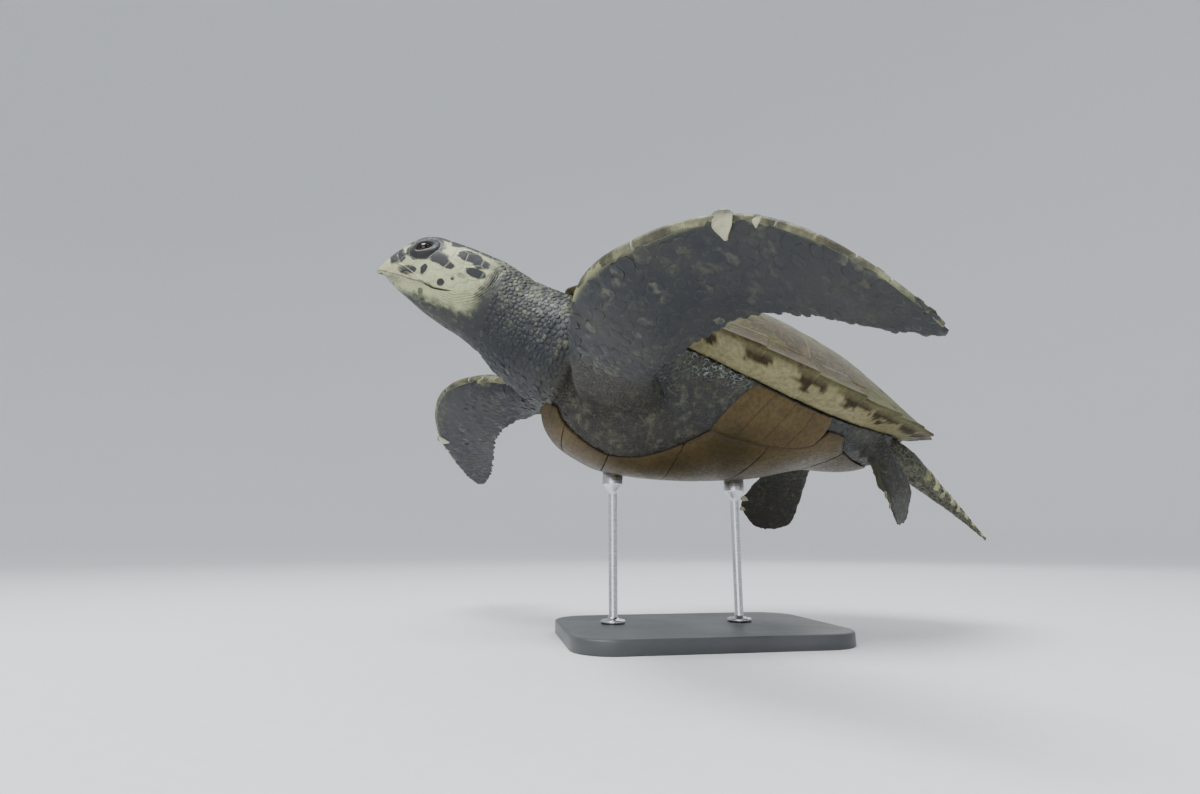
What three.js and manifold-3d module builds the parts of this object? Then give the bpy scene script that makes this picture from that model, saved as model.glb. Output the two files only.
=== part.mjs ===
// Hawksbill sea turtle, life size, swimming nose up above a plain display stand.
//
// The animal is laid out in its own frame (x forward, y to its left, z up, origin in the middle of
// the shell's rim) and then turned and lifted onto the stand, whose foot is the origin of the part.
import * as THREE from 'three';
import { mergeVertices } from 'three/addons/utils/BufferGeometryUtils.js';
import Module from 'manifold-3d';

const wasm = await Module();
wasm.setup();

// ---------------------------------------------------------------- driving dimensions (mm, degrees)
const SHELL_LENGTH = 760;
const SHELL_WIDTH = 0.72 * SHELL_LENGTH;
const DOME_HEIGHT = 0.2 * SHELL_LENGTH;
const DOME_POWER = 1.25;
const RIM_LIFT = { middle: 23, front: 23, rear: 50, power: 2.2 };
const MARGINALS = 12; // marginal plates on each side
const SERRATION = 7; // how far the rear marginals' corners stand out
const SHELL_WALL = 14;
const LIP_DROP = { side: 46, end: 28 }; // height of the marginals' underside
const LIP_RING = { side: 0.83, front: 0.92 }; // share of the rim where flesh meets the marginals
const PLASTRON_WALL = 7;
const GAP = 0.35; // clearance between pieces that touch

const NOSE_UP = 22.5;
const LEFT_UP = -7;
const BODY_HEIGHT = 449;
const BODY_BACK = 95; // how far the rim's middle lies behind the stand's middle

const STAND = { length: 480, width: 340, thickness: 24, corner: 70, chamfer: 3 };
const ROD = { radius: 8, flange: 22, flangeHeight: 7, cup: 19, cupHeight: 30 };
const ROD_FRONT_X = 160; // along the animal
const ROD_REAR_X = -60;

const FRONT_FLIPPER = 585; // shoulder to tip
const HIND_FLIPPER = 190;
const EYE = { x: 643, y: 30, z: -5, radius: 17 };
const NAPE = 522; // where the head ends and the neck begins, forward of the rim's middle

const AROUND = 4 * MARGINALS; // points round the shell

// ---------------------------------------------------------------- materials
function material(color, roughness, metalness = 0) {
  return new THREE.MeshStandardMaterial({ color, roughness, metalness });
}

const FINISH = {
  shell: material(0x6b5a35, 0.38),
  plastron: material(0xb99f5a, 0.45),
  skin: material(0x56594f, 0.62),
  flipper: material(0x3a3d3f, 0.55),
  face: material(0xb5ab7a, 0.5),
  beak: material(0xa08a4e, 0.32),
  claw: material(0xcbb98a, 0.35),
  eye: material(0x0c0b0a, 0.06),
  steel: material(0xa9adb0, 0.3, 1),
  base: material(0x2b2c2e, 0.5),
};

// ---------------------------------------------------------------- numbers and curves
const radians = THREE.MathUtils.degToRad;

/** A smooth value that passes through [place, value] pairs and doesn't overshoot them. */
function smoothThrough(pairs) {
  const slope = pairs.map((pair, i) => {
    if (i === 0 || i === pairs.length - 1) {
      const [a, b] = i === 0 ? [pairs[0], pairs[1]] : [pairs[i - 1], pairs[i]];
      return (b[1] - a[1]) / (b[0] - a[0]);
    }
    const before = (pair[1] - pairs[i - 1][1]) / (pair[0] - pairs[i - 1][0]);
    const after = (pairs[i + 1][1] - pair[1]) / (pairs[i + 1][0] - pair[0]);
    return before * after <= 0 ? 0 : (2 * before * after) / (before + after);
  });
  return (place) => {
    const last = pairs.length - 2;
    let i = 0;
    while (i < last && place > pairs[i + 1][0]) i += 1;
    const width = pairs[i + 1][0] - pairs[i][0];
    const t = THREE.MathUtils.clamp((place - pairs[i][0]) / width, 0, 1);
    const t2 = t * t;
    const t3 = t2 * t;
    return (2 * t3 - 3 * t2 + 1) * pairs[i][1] + (t3 - 2 * t2 + t) * width * slope[i]
      + (3 * t2 - 2 * t3) * pairs[i + 1][1] + (t3 - t2) * width * slope[i + 1];
  };
}

function steps(count, from = 0, to = 1) {
  return Array.from({ length: count + 1 }, (_, i) => from + ((to - from) * i) / count);
}

// ---------------------------------------------------------------- solids
/** A closed surface over equal rings of points, each end closed on the middle of its ring. */
function skinOver(rings) {
  const around = rings[0].length;
  const points = rings.flat().flatMap((p) => [p.x, p.y, p.z]);
  const faces = [];
  for (let r = 0; r + 1 < rings.length; r += 1) {
    for (let i = 0; i < around; i += 1) {
      const a = r * around + i;
      const b = r * around + ((i + 1) % around);
      faces.push(a, b, b + around, a, b + around, a + around);
    }
  }
  for (const [ring, turned] of [[0, false], [rings.length - 1, true]]) {
    const middle = new THREE.Vector3();
    rings[ring].forEach((p) => middle.addScaledVector(p, 1 / around));
    const hub = points.length / 3;
    points.push(middle.x, middle.y, middle.z);
    for (let i = 0; i < around; i += 1) {
      const a = ring * around + i;
      const b = ring * around + ((i + 1) % around);
      faces.push(hub, turned ? a : b, turned ? b : a);
    }
  }
  const geometry = new THREE.BufferGeometry();
  geometry.setAttribute('position', new THREE.Float32BufferAttribute(points, 3));
  geometry.setIndex(faces);
  if (volumeOf(geometry) < 0) geometry.setIndex(faces.reverse());
  return geometry;
}

function volumeOf(geometry) {
  const at = geometry.attributes.position;
  const index = geometry.index.array;
  const [a, b, c] = [new THREE.Vector3(), new THREE.Vector3(), new THREE.Vector3()];
  let sum = 0;
  for (let i = 0; i < index.length; i += 3) {
    a.fromBufferAttribute(at, index[i]);
    b.fromBufferAttribute(at, index[i + 1]);
    c.fromBufferAttribute(at, index[i + 2]);
    sum += a.dot(b.cross(c));
  }
  return sum / 6;
}

function merged(geometry) {
  const bare = geometry.clone();
  bare.deleteAttribute('normal');
  bare.deleteAttribute('uv');
  return mergeVertices(bare, 1e-4);
}

/** The same closed surface moved outwards, to cut clearance in a neighbour. */
function grown(geometry, distance = GAP) {
  const swollen = merged(geometry);
  swollen.computeVertexNormals();
  const at = swollen.attributes.position;
  const normal = swollen.attributes.normal;
  for (let i = 0; i < at.count; i += 1) {
    at.setXYZ(
      i,
      at.getX(i) + normal.getX(i) * distance,
      at.getY(i) + normal.getY(i) * distance,
      at.getZ(i) + normal.getZ(i) * distance,
    );
  }
  return swollen;
}

function solid(geometry) {
  const closed = merged(geometry);
  return new wasm.Manifold(new wasm.Mesh({
    numProp: 3,
    vertProperties: Float32Array.from(closed.attributes.position.array),
    triVerts: Uint32Array.from(closed.index.array),
  }));
}

function geometryOf(body) {
  const mesh = body.getMesh();
  const geometry = new THREE.BufferGeometry();
  geometry.setAttribute('position', new THREE.Float32BufferAttribute(mesh.vertProperties, 3));
  geometry.setIndex(Array.from(mesh.triVerts));
  return geometry;
}

/** A shape with clearance cut in it for each neighbour; crumbs that a cut leaves are dropped. */
function cutFor(geometry, ...neighbours) {
  let body = solid(geometry);
  for (const neighbour of neighbours) body = body.subtract(solid(grown(neighbour)));
  return largest(body);
}

function largest(body) {
  const pieces = body.decompose().sort((a, b) => b.volume() - a.volume());
  return geometryOf(pieces[0]);
}

/** A straight prism over a closed outline seen from above. */
function prismFromAbove(outline, bottom, top) {
  const shape = new THREE.Shape(outline);
  const prism = new THREE.ExtrudeGeometry(shape, { depth: top - bottom, bevelEnabled: false });
  return prism.translate(0, 0, bottom);
}

/** A straight prism over a closed outline of (x, z) points seen from the side. */
function prismFromSide(outline, halfWidth) {
  const shape = new THREE.Shape(outline);
  const prism = new THREE.ExtrudeGeometry(shape, { depth: 2 * halfWidth, bevelEnabled: false });
  return prism.rotateX(Math.PI / 2).translate(0, halfWidth, 0);
}

// ---------------------------------------------------------------- shell
/** How far the rim stands out at a turn round the shell: one tooth to each rear marginal. */
function sawEdge(turn) {
  const plate = (Math.abs(turn) / Math.PI) * MARGINALS;
  const rear = THREE.MathUtils.smoothstep(-Math.cos(turn), -0.2, 0.8);
  return -0.5 * SERRATION * rear * Math.cos(2 * Math.PI * plate);
}

function lipRing(turn) {
  const front = Math.max(0, Math.cos(turn)) ** 3;
  return THREE.MathUtils.lerp(LIP_RING.side, LIP_RING.front, front);
}

/** The rim of the shell: turn 0 is the front, a quarter turn the left side. */
function rimPoint(turn) {
  const c = Math.cos(turn);
  const s = Math.sin(turn);
  const lift = c > 0 ? RIM_LIFT.front : RIM_LIFT.rear;
  return new THREE.Vector3(
    0.5 * SHELL_LENGTH * c,
    0.5 * SHELL_WIDTH * s * (1 + 0.1 * c - 0.1 * c * c),
    RIM_LIFT.middle + lift * Math.abs(c) ** RIM_LIFT.power,
  );
}

function domePoint(turn, share) {
  const rim = rimPoint(turn);
  const out = share + (sawEdge(turn) * share ** 8) / Math.hypot(rim.x, rim.y);
  const rise = DOME_HEIGHT * Math.max(0, 1 - share * share) ** DOME_POWER;
  return new THREE.Vector3(rim.x * out, rim.y * out, rim.z * share + rise);
}

function lipHeight(turn) {
  const side = Math.sin(turn) ** 2;
  return rimPoint(turn).z - THREE.MathUtils.lerp(LIP_DROP.end, LIP_DROP.side, side);
}

function ringAt(place) {
  return steps(AROUND - 1, 0, (2 * Math.PI * (AROUND - 1)) / AROUND).map((turn) => {
    const signed = turn > Math.PI ? turn - 2 * Math.PI : turn;
    return place(signed);
  });
}

function lipPoint(turn, share, shelf) {
  const rim = rimPoint(turn);
  const z = THREE.MathUtils.lerp(rim.z, lipHeight(turn), shelf);
  return new THREE.Vector3(rim.x * share, rim.y * share, z);
}

function innerPoint(turn, share, clearance) {
  const point = domePoint(turn, share);
  point.z -= SHELL_WALL + clearance;
  return point;
}

function makeCarapace() {
  const top = [0.16, 0.34, 0.5, 0.64, 0.76, 0.86, 0.94, 1];
  const rings = top.map((share) => ringAt((turn) => domePoint(turn, share)));
  rings.push(ringAt((turn) => lipPoint(turn, 0.975, 0.18)));
  rings.push(ringAt((turn) => lipPoint(turn, lipRing(turn) + 0.01, 1)));
  rings.push(ringAt((turn) => lipPoint(turn, lipRing(turn) - 0.05, 1)));
  for (const share of [0.74, 0.4]) {
    rings.push(ringAt((turn) => innerPoint(turn, share, 0)));
  }
  return skinOver(rings);
}

/** Height of the belly along the middle of the body. */
const bellyLine = smoothThrough([
  [-330, -70], [-290, -92], [-240, -91], [-194, -93], [-79, -148], [46, -203], [137, -233], [206, -246],
  [266, -246], [312, -240], [336, -230], [352, -216],
]);

/** The belly and flanks, from the middle (share 0) out to the marginals' inner edge (share 1). */
function bellyPoint(turn, share, inset) {
  const rim = rimPoint(turn);
  const edge = lipRing(turn) - inset / Math.hypot(rim.x, rim.y);
  const x = rim.x * edge * share;
  const y = rim.y * edge * share;
  const forward = Math.cos(turn);
  const fullness = 1.8 + (forward > 0 ? 4.2 : 0.9) * forward * forward;
  const depth = Math.max(0, 1 - share ** fullness) ** (1 / fullness);
  const top = lipHeight(turn) - GAP + 0.6 * inset;
  return new THREE.Vector3(x, y, top + (bellyLine(x) + inset - top) * depth);
}

/** The body inside the shell; inset > 0 draws in the belly and lifts the top, as a cutting tool. */
function makeCore(inset) {
  const shares = [0.25, 0.48, 0.66, 0.8, 0.9, 0.965, 1];
  const rings = shares.map((share) => ringAt((turn) => bellyPoint(turn, share, inset)));
  const below = new THREE.Vector3(0, 0, 0.6 * inset - GAP);
  rings.push(ringAt((turn) => lipPoint(turn, lipRing(turn) - 0.055, 1).add(below)));
  for (const share of [0.735, 0.4]) {
    rings.push(ringAt((turn) => innerPoint(turn, share, GAP - 0.6 * inset)));
  }
  return skinOver(rings);
}

/** Outline of the plastron from above: bow, arm notch, bridge, leg notch and rear end. */
function plastronOutline(spread) {
  const half = [
    [344, 0], [337, 46], [310, 84], [262, 108], [210, 122], [150, 146], [90, 180], [40, 212], [8, 300],
    [-128, 300], [-150, 190], [-180, 136], [-222, 96], [-262, 60], [-286, 28], [-292, 0],
  ];
  const points = [...half, ...half.slice(1, -1).reverse().map(([x, y]) => [x, -y])];
  return points.map((point, i) => {
    const before = points[(i + points.length - 1) % points.length];
    const after = points[(i + 1) % points.length];
    const out = new THREE.Vector2(before[1] - after[1], after[0] - before[0]).normalize();
    return new THREE.Vector2(...point).addScaledVector(out, -1.5 * spread);
  });
}

// ---------------------------------------------------------------- head and neck
const crownLine = smoothThrough([
  [262, -20], [335, 30], [391, 32], [433, 33], [478, 40], [511, 44], [569, 42], [604, 39],
  [633, 36], [657, 26], [676, 6], [690, -16], [701, -38], [709, -58], [712, -68],
]);
const throatLine = smoothThrough([
  [262, -130], [320, -184], [352, -182], [400, -168], [447, -153], [477, -136], [525, -122],
  [562, -116], [601, -108], [634, -98], [672, -86], [690, -79], [701, -75], [712, -73],
]);
const headWidth = smoothThrough([
  [262, 90], [325, 142], [350, 138], [400, 110], [447, 86], [490, 72], [525, 65], [562, 64],
  [601, 59], [634, 49], [660, 37], [680, 27], [695, 17], [706, 9], [712, 3],
]);
const mouthLine = smoothThrough([
  [570, -64], [582, -62], [600, -69], [618, -64], [640, -61], [680, -66], [720, -67],
]);

function headSection(x, around) {
  const crown = crownLine(x);
  const throat = throatLine(x);
  const middle = THREE.MathUtils.lerp(throat, crown, 0.5);
  return steps(around - 1, 0, (2 * Math.PI * (around - 1)) / around).map((angle) => {
    const c = Math.cos(angle);
    const s = Math.sin(angle);
    const power = s > 0 ? 0.84 : 1.06;
    const side = headWidth(x) * Math.sign(c) * Math.abs(c) ** power;
    const reach = s > 0 ? crown - middle : middle - throat;
    return new THREE.Vector3(x, side, middle + reach * Math.sign(s) * Math.abs(s) ** 0.86);
  });
}

function makeHeadAndNeck() {
  const places = [
    262, 300, 335, 370, 405, 440, 475, 505, 532, 558, 582, 604, 624, 643, 660, 675, 687, 697, 705, 711,
  ];
  return skinOver(places.map((x) => headSection(x, 20)));
}

/** Side outline of everything between two places along the animal. */
function stretchOutline(from, to) {
  const corners = [[from, -400], [to, -400], [to, 300], [from, 300]];
  return corners.map(([x, z]) => new THREE.Vector2(x, z));
}

/** Side outline of the lower jaw: mouth line on top, open below. */
function jawOutline(drop) {
  const top = steps(9, 576, 730).map((x) => new THREE.Vector2(x, mouthLine(x) - drop));
  return [...top, new THREE.Vector2(730, -200), new THREE.Vector2(536 + drop, -200)];
}

/** Side outline of the horny beak, with a strip that runs back along the mouth. */
function beakOutline(inset) {
  return [
    [665 + inset, 80], [661 + inset, 6], [652 + inset, -32], [630 + inset, -46 - inset],
    [596 + inset, -52 - inset], [596 + inset, -80 + inset], [640 + inset, -84 + inset],
    [668 + inset, -120], [740, -120], [740, 80],
  ].map(([x, z]) => new THREE.Vector2(x, z));
}

// ---------------------------------------------------------------- flippers
/** Points and directions along a flipper, from its shoulder or hip out to the tip. */
function flipperSpine({ start, side, length, sweep, lift, twist }) {
  const direction = (u) => {
    const a = radians(sweep(u));
    const e = radians(lift(u));
    const r = radians(twist(u));
    const along = new THREE.Vector3(
      Math.cos(e) * Math.sin(a),
      side * Math.cos(e) * Math.cos(a),
      Math.sin(e),
    );
    const flat = new THREE.Vector3(Math.cos(a), -side * Math.sin(a), 0);
    const upright = new THREE.Vector3(
      -Math.sin(e) * Math.sin(a),
      -side * Math.sin(e) * Math.cos(a),
      Math.cos(e),
    );
    const chord = flat.clone().multiplyScalar(Math.cos(r)).addScaledVector(upright, Math.sin(r));
    const up = upright.clone().multiplyScalar(Math.cos(r)).addScaledVector(flat, -Math.sin(r));
    return { along, chord, up };
  };
  const count = 60;
  const table = [new THREE.Vector3(...start)];
  for (let i = 0; i < count; i += 1) {
    const step = direction((i + 0.5) / count).along;
    table.push(table[i].clone().addScaledVector(step, length / count));
  }
  return (u) => {
    const frame = direction(Math.max(u, 0));
    if (u < 0) {
      return { ...frame, point: table[0].clone().addScaledVector(frame.along, u * length) };
    }
    const place = Math.min(u * count, count - 1e-6);
    const i = Math.floor(place);
    return { ...frame, point: table[i].clone().lerp(table[i + 1], place - i) };
  };
}

function roundTip(u, from = 0.86) {
  const t = THREE.MathUtils.clamp((u - from) / (1 - from), 0, 1);
  return Math.sqrt(Math.max(0, 1 - t * t));
}

/** One closed flipper: a lens section, thicker along its leading edge, carried out to the tip. */
function makeFlipper(spine, plan, stations, around) {
  return skinOver(stations.map((u) => {
    const { point, chord, up } = spine(u);
    const front = plan.lead(u) * plan.length;
    const back = plan.trail(u) * plan.length;
    const middle = (front - back) / 2;
    const half = (front + back) / 2;
    const thick = plan.thickness(u) / 2;
    return steps(around - 1, 0, (2 * Math.PI * (around - 1)) / around).map((angle) => {
      const c = Math.cos(angle);
      const s = Math.sin(angle);
      const lens = thick * (0.72 + 0.28 * c) * Math.sign(s) * Math.abs(s) ** 0.8;
      return point.clone()
        .addScaledVector(chord, middle + half * Math.sign(c) * Math.abs(c) ** 0.9)
        .addScaledVector(up, lens);
    });
  }));
}

const frontLead = smoothThrough([
  [-0.2, 0.12], [0, 0.11], [0.2, 0.13], [0.4, 0.153], [0.6, 0.129], [0.8, 0.086], [0.92, 0.056],
  [1, 0.04],
]);
const frontTrail = smoothThrough([
  [-0.2, 0.12], [0, 0.125], [0.2, 0.118], [0.4, 0.13], [0.6, 0.118], [0.8, 0.08], [0.92, 0.052],
  [1, 0.036],
]);
const frontThickness = smoothThrough([
  [-0.2, 150], [-0.05, 122], [0.08, 86], [0.22, 54], [0.4, 36], [0.6, 23], [0.8, 15], [1, 5],
]);

/**
 * A front flipper's outline; its armpit spreads the root behind the upper arm, or draws it in, and
 * its spread widens the outer third of the blade, as the hand opens.
 */
function frontPlan(length, armpit, spread) {
  const open = (u) => 1 + spread * THREE.MathUtils.smoothstep(u, 0.6, 0.86);
  return {
    length,
    lead: (u) => frontLead(u) * open(u) * roundTip(u),
    trail: (u) => (frontTrail(u) * open(u) + armpit * Math.max(0, -u)) * roundTip(u),
    thickness: frontThickness,
  };
}

const hindLead = smoothThrough([
  [-0.4, 0.22], [0, 0.2], [0.25, 0.23], [0.5, 0.3], [0.75, 0.33], [0.9, 0.3], [1, 0.25],
]);
const hindTrail = smoothThrough([
  [-0.4, 0.26], [0, 0.22], [0.25, 0.24], [0.5, 0.3], [0.75, 0.33], [0.9, 0.3], [1, 0.22],
]);
const hindPlan = (width) => ({
  length: width,
  lead: (u) => hindLead(u) * roundTip(u, 0.72),
  trail: (u) => hindTrail(u) * roundTip(u, 0.72),
  thickness: smoothThrough([[-0.4, 78], [0, 58], [0.3, 34], [0.6, 20], [0.85, 11], [1, 5]]),
});

const STATIONS = {
  front: [
    -0.19, -0.08, 0.01, 0.09, 0.17, 0.25, 0.33, 0.42, 0.51, 0.6, 0.69, 0.78, 0.86, 0.92, 0.96, 0.985,
  ],
  hind: [-0.38, -0.12, 0.1, 0.3, 0.48, 0.62, 0.74, 0.84, 0.92, 0.97, 0.992],
};

const POSES = {
  front_flipper_left: {
    start: [261, 241, -100],
    side: 1,
    length: FRONT_FLIPPER,
    armpit: 0.3,
    spread: 0.26,
    sweep: smoothThrough([[0, 13], [0.22, 0], [0.45, -30], [0.72, -38], [1, -65]]),
    lift: smoothThrough([[0, 0], [0.22, 13], [0.45, 28], [0.72, -10], [1, -14]]),
    twist: smoothThrough([[0, 9], [0.22, 15], [0.45, 11], [0.72, 20], [1, 2]]),
  },
  front_flipper_right: {
    start: [309, -148, -129],
    side: -1,
    length: 0.96 * FRONT_FLIPPER,
    armpit: -0.35,
    spread: -0.03,
    sweep: smoothThrough([[0, 87], [0.22, 55], [0.45, 5], [0.72, -22], [1, -18]]),
    lift: smoothThrough([[0, -25], [0.22, -26], [0.45, -32], [0.72, -23], [1, -25]]),
    twist: smoothThrough([[0, 3], [0.22, 24], [0.45, 4], [0.72, -22], [1, -38]]),
  },
  hind_flipper_left: {
    start: [-250, 104, -10],
    side: 1,
    length: 0.76 * HIND_FLIPPER,
    width: 0.82 * HIND_FLIPPER,
    sweep: smoothThrough([[0, -58], [0.5, -50], [1, -38]]),
    lift: smoothThrough([[0, -36], [0.5, -56], [1, -80]]),
    twist: smoothThrough([[0, -38], [0.5, -30], [0.72, -9], [1, 4]]),
  },
  hind_flipper_right: {
    start: [-206, -124, -62],
    side: -1,
    length: 0.95 * HIND_FLIPPER,
    width: HIND_FLIPPER,
    sweep: smoothThrough([[0, -20], [0.5, -8], [1, -4]]),
    lift: smoothThrough([[0, -40], [0.5, -56], [1, -66]]),
    twist: smoothThrough([[0, 0], [1, 0]]),
  },
};

/** Claws grow from the leading edge: where along the flipper, and how long. */
const CLAWS = {
  front: [{ at: 0.625, length: 36 }, { at: 0.69, length: 14 }],
  hind: [{ at: 0.7, length: 17 }, { at: 0.84, length: 13 }],
};

function makeClaw(spine, plan, { at, length }) {
  const { point, chord, along, up } = spine(at);
  const root = point.clone().addScaledVector(chord, plan.lead(at) * plan.length - 0.62 * length);
  const radius = 0.34 * length;
  const rings = steps(3).map((t) => {
    const middle = root.clone()
      .addScaledVector(chord, 0.86 * length * t)
      .addScaledVector(along, 0.62 * length * t * t)
      .addScaledVector(up, -0.24 * length * t);
    const size = radius * (1 - 0.8 * t ** 1.8);
    return steps(5, 0, (2 * Math.PI * 5) / 6).map((angle) => middle.clone()
      .addScaledVector(along, size * Math.cos(angle))
      .addScaledVector(up, 0.62 * size * Math.sin(angle)));
  });
  return skinOver(rings);
}

// ---------------------------------------------------------------- tail
const tailHeight = smoothThrough([
  [-590, -61], [-538, -41], [-500, -27], [-457, -13], [-408, 3], [-378, 13], [-290, 24],
]);
const tailRadius = smoothThrough([
  [-590, 2.5], [-538, 8.5], [-500, 13], [-457, 18.5], [-408, 25], [-378, 28], [-290, 38],
]);

function makeTail() {
  const places = [-290, -345, -378, -405, -430, -456, -485, -515, -545, -572, -588];
  return skinOver(places.map((x) => {
    const radius = tailRadius(x);
    return steps(9, 0, (2 * Math.PI * 9) / 10).map((angle) => new THREE.Vector3(
      x,
      radius * Math.cos(angle),
      tailHeight(x) + radius * Math.sin(angle),
    ));
  }));
}

// ---------------------------------------------------------------- stand
function makeBase() {
  const { length, width, corner, thickness, chamfer } = STAND;
  const halfX = width / 2 - chamfer;
  const halfY = length / 2 - chamfer;
  const shape = new THREE.Shape();
  shape.moveTo(-halfX + corner, -halfY);
  shape.lineTo(halfX - corner, -halfY);
  shape.absarc(halfX - corner, -halfY + corner, corner, -Math.PI / 2, 0, false);
  shape.absarc(halfX - corner, halfY - corner, corner, 0, Math.PI / 2, false);
  shape.absarc(-halfX + corner, halfY - corner, corner, Math.PI / 2, Math.PI, false);
  shape.absarc(-halfX + corner, -halfY + corner, corner, Math.PI, 1.5 * Math.PI, false);
  const plate = new THREE.ExtrudeGeometry(shape, {
    depth: thickness - 2 * chamfer,
    bevelEnabled: true,
    bevelSegments: 1,
    bevelThickness: chamfer,
    bevelSize: chamfer,
    curveSegments: 4,
  });
  return plate.translate(0, 0, chamfer);
}

/** A rod with a flange on the base and a cup that reaches up into the belly, to be cut by it. */
function makeRod(height) {
  const { radius, flange, flangeHeight, cup, cupHeight } = ROD;
  const profile = [
    [0, 0], [flange, 0], [flange, flangeHeight - 2], [flange - 2, flangeHeight],
    [radius, flangeHeight + 2], [radius, height - cupHeight], [cup, height - cupHeight + 12],
    [cup, height + 20], [0, height + 20],
  ].map(([x, y]) => new THREE.Vector2(x, y));
  return new THREE.LatheGeometry(profile, 12).rotateX(Math.PI / 2);
}

// ---------------------------------------------------------------- assembly
const group = new THREE.Group();
const turtle = new THREE.Group();
turtle.rotation.set(radians(LEFT_UP), -radians(NOSE_UP), -Math.PI / 2, 'ZYX');
turtle.position.set(0, BODY_BACK, BODY_HEIGHT);
turtle.updateMatrix();
group.add(turtle);

function add(parent, name, geometry, finish) {
  const mesh = new THREE.Mesh(geometry, finish);
  mesh.name = name;
  parent.add(mesh);
  return geometry;
}

const carapace = add(turtle, 'carapace', makeCarapace(), FINISH.shell);

const core = makeCore(0);
const underPlastron = makeCore(PLASTRON_WALL);
const plate = prismFromAbove(plastronOutline(0), -400, 60);
const plateRoom = prismFromAbove(plastronOutline(GAP), -400, 60);
const plastronBody = solid(core).subtract(solid(underPlastron)).intersect(solid(plate));
const plastron = add(turtle, 'plastron', largest(plastronBody), FINISH.plastron);
const plastronRoom = solid(plateRoom).subtract(solid(makeCore(PLASTRON_WALL + GAP)));
add(turtle, 'trunk', largest(solid(core).subtract(plastronRoom)), FINISH.skin);

const whole = makeHeadAndNeck();
const neckRange = prismFromSide(stretchOutline(200, NAPE), 300);
const headRange = prismFromSide(stretchOutline(NAPE + GAP, 900), 300);
const neck = geometryOf(solid(whole).intersect(solid(neckRange)));
add(turtle, 'neck', cutFor(neck, core, carapace), FINISH.skin);

const eyes = [1, -1].map((side) => new THREE.SphereGeometry(EYE.radius, 12, 7)
  .translate(EYE.x, side * EYE.y, EYE.z));
eyes.forEach((eye, i) => add(turtle, i === 0 ? 'eye_left' : 'eye_right', eye, FINISH.eye));

const headBody = solid(cutFor(geometryOf(solid(whole).intersect(solid(headRange))), ...eyes));
const jawRoom = solid(prismFromSide(jawOutline(0), 200));
const jawRange = solid(prismFromSide(jawOutline(GAP), 200));
const beakRoom = solid(prismFromSide(beakOutline(0), 200));
const beakRange = solid(prismFromSide(beakOutline(GAP), 200));
const upper = headBody.subtract(jawRoom);
const lower = headBody.intersect(jawRange);
add(turtle, 'head', largest(upper.subtract(beakRoom)), FINISH.face);
add(turtle, 'beak_upper', largest(upper.intersect(beakRange)), FINISH.beak);
add(turtle, 'lower_jaw', largest(lower.subtract(beakRoom)), FINISH.face);
add(turtle, 'beak_lower', largest(lower.intersect(beakRange)), FINISH.beak);

for (const [name, pose] of Object.entries(POSES)) {
  const front = name.startsWith('front');
  const plan = front
    ? frontPlan(pose.length, pose.armpit, pose.spread)
    : hindPlan(pose.width);
  const spine = flipperSpine(pose);
  const blank = makeFlipper(spine, plan, front ? STATIONS.front : STATIONS.hind, 12);
  add(turtle, name, cutFor(blank, core, carapace, whole), FINISH.flipper);
  const claws = front ? CLAWS.front : CLAWS.hind;
  claws.forEach((claw, i) => {
    const clawName = `claw_${name.replace('_flipper', '')}_${i + 1}`;
    add(turtle, clawName, cutFor(makeClaw(spine, plan, claw), blank), FINISH.claw);
  });
}

add(turtle, 'tail', cutFor(makeTail(), core, carapace), FINISH.skin);

// The rods stand upright on the base, under the middle of the belly.
add(group, 'stand_base', makeBase(), FINISH.base);
const bellyInPlace = core.clone().applyMatrix4(turtle.matrix);
for (const [name, x] of [['stand_rod_front', ROD_FRONT_X], ['stand_rod_rear', ROD_REAR_X]]) {
  const foot = new THREE.Vector3(x, 0, bellyLine(x)).applyMatrix4(turtle.matrix);
  const bottom = STAND.thickness + GAP;
  const rod = makeRod(foot.z - bottom).translate(foot.x, foot.y, bottom);
  add(group, name, cutFor(rod, bellyInPlace), FINISH.steel);
}

export default group;
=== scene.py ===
"""Hawksbill sea turtle, life size, swimming over a plain display stand.

The animal is worked out in its own frame, in millimetres (x forward, y to its left, z up, origin in
the middle of the shell's rim), and each finished mesh is then turned and lifted into the frame of
the CAD part, in metres.
"""
import math
import bmesh
import bpy
import numpy as np
from mathutils import Euler, Matrix, Vector, kdtree
from mathutils.bvhtree import BVHTree


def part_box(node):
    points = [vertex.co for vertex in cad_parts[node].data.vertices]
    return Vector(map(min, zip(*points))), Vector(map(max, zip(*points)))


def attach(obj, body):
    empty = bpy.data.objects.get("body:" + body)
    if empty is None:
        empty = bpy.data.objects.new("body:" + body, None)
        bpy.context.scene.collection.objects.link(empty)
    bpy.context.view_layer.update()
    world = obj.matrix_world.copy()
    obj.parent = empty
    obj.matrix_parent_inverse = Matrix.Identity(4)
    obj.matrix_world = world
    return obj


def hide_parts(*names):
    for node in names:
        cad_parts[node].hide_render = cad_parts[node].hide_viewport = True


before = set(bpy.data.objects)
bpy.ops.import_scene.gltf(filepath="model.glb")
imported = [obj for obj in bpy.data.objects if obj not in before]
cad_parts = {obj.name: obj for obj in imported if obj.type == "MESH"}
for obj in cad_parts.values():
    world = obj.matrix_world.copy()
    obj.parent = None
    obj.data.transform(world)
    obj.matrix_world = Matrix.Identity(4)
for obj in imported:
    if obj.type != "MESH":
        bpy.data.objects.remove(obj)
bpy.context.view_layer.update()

bl_info = {
    "name": "Hawksbill turtle",
    "version": (1, 0, 0),
    "blender": (4, 5, 0),
    "location": "View3D > Sidebar > Turtle",
    "description": "Builds a hawksbill sea turtle and its display stand around the CAD frame",
    "category": "Object",
}

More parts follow.
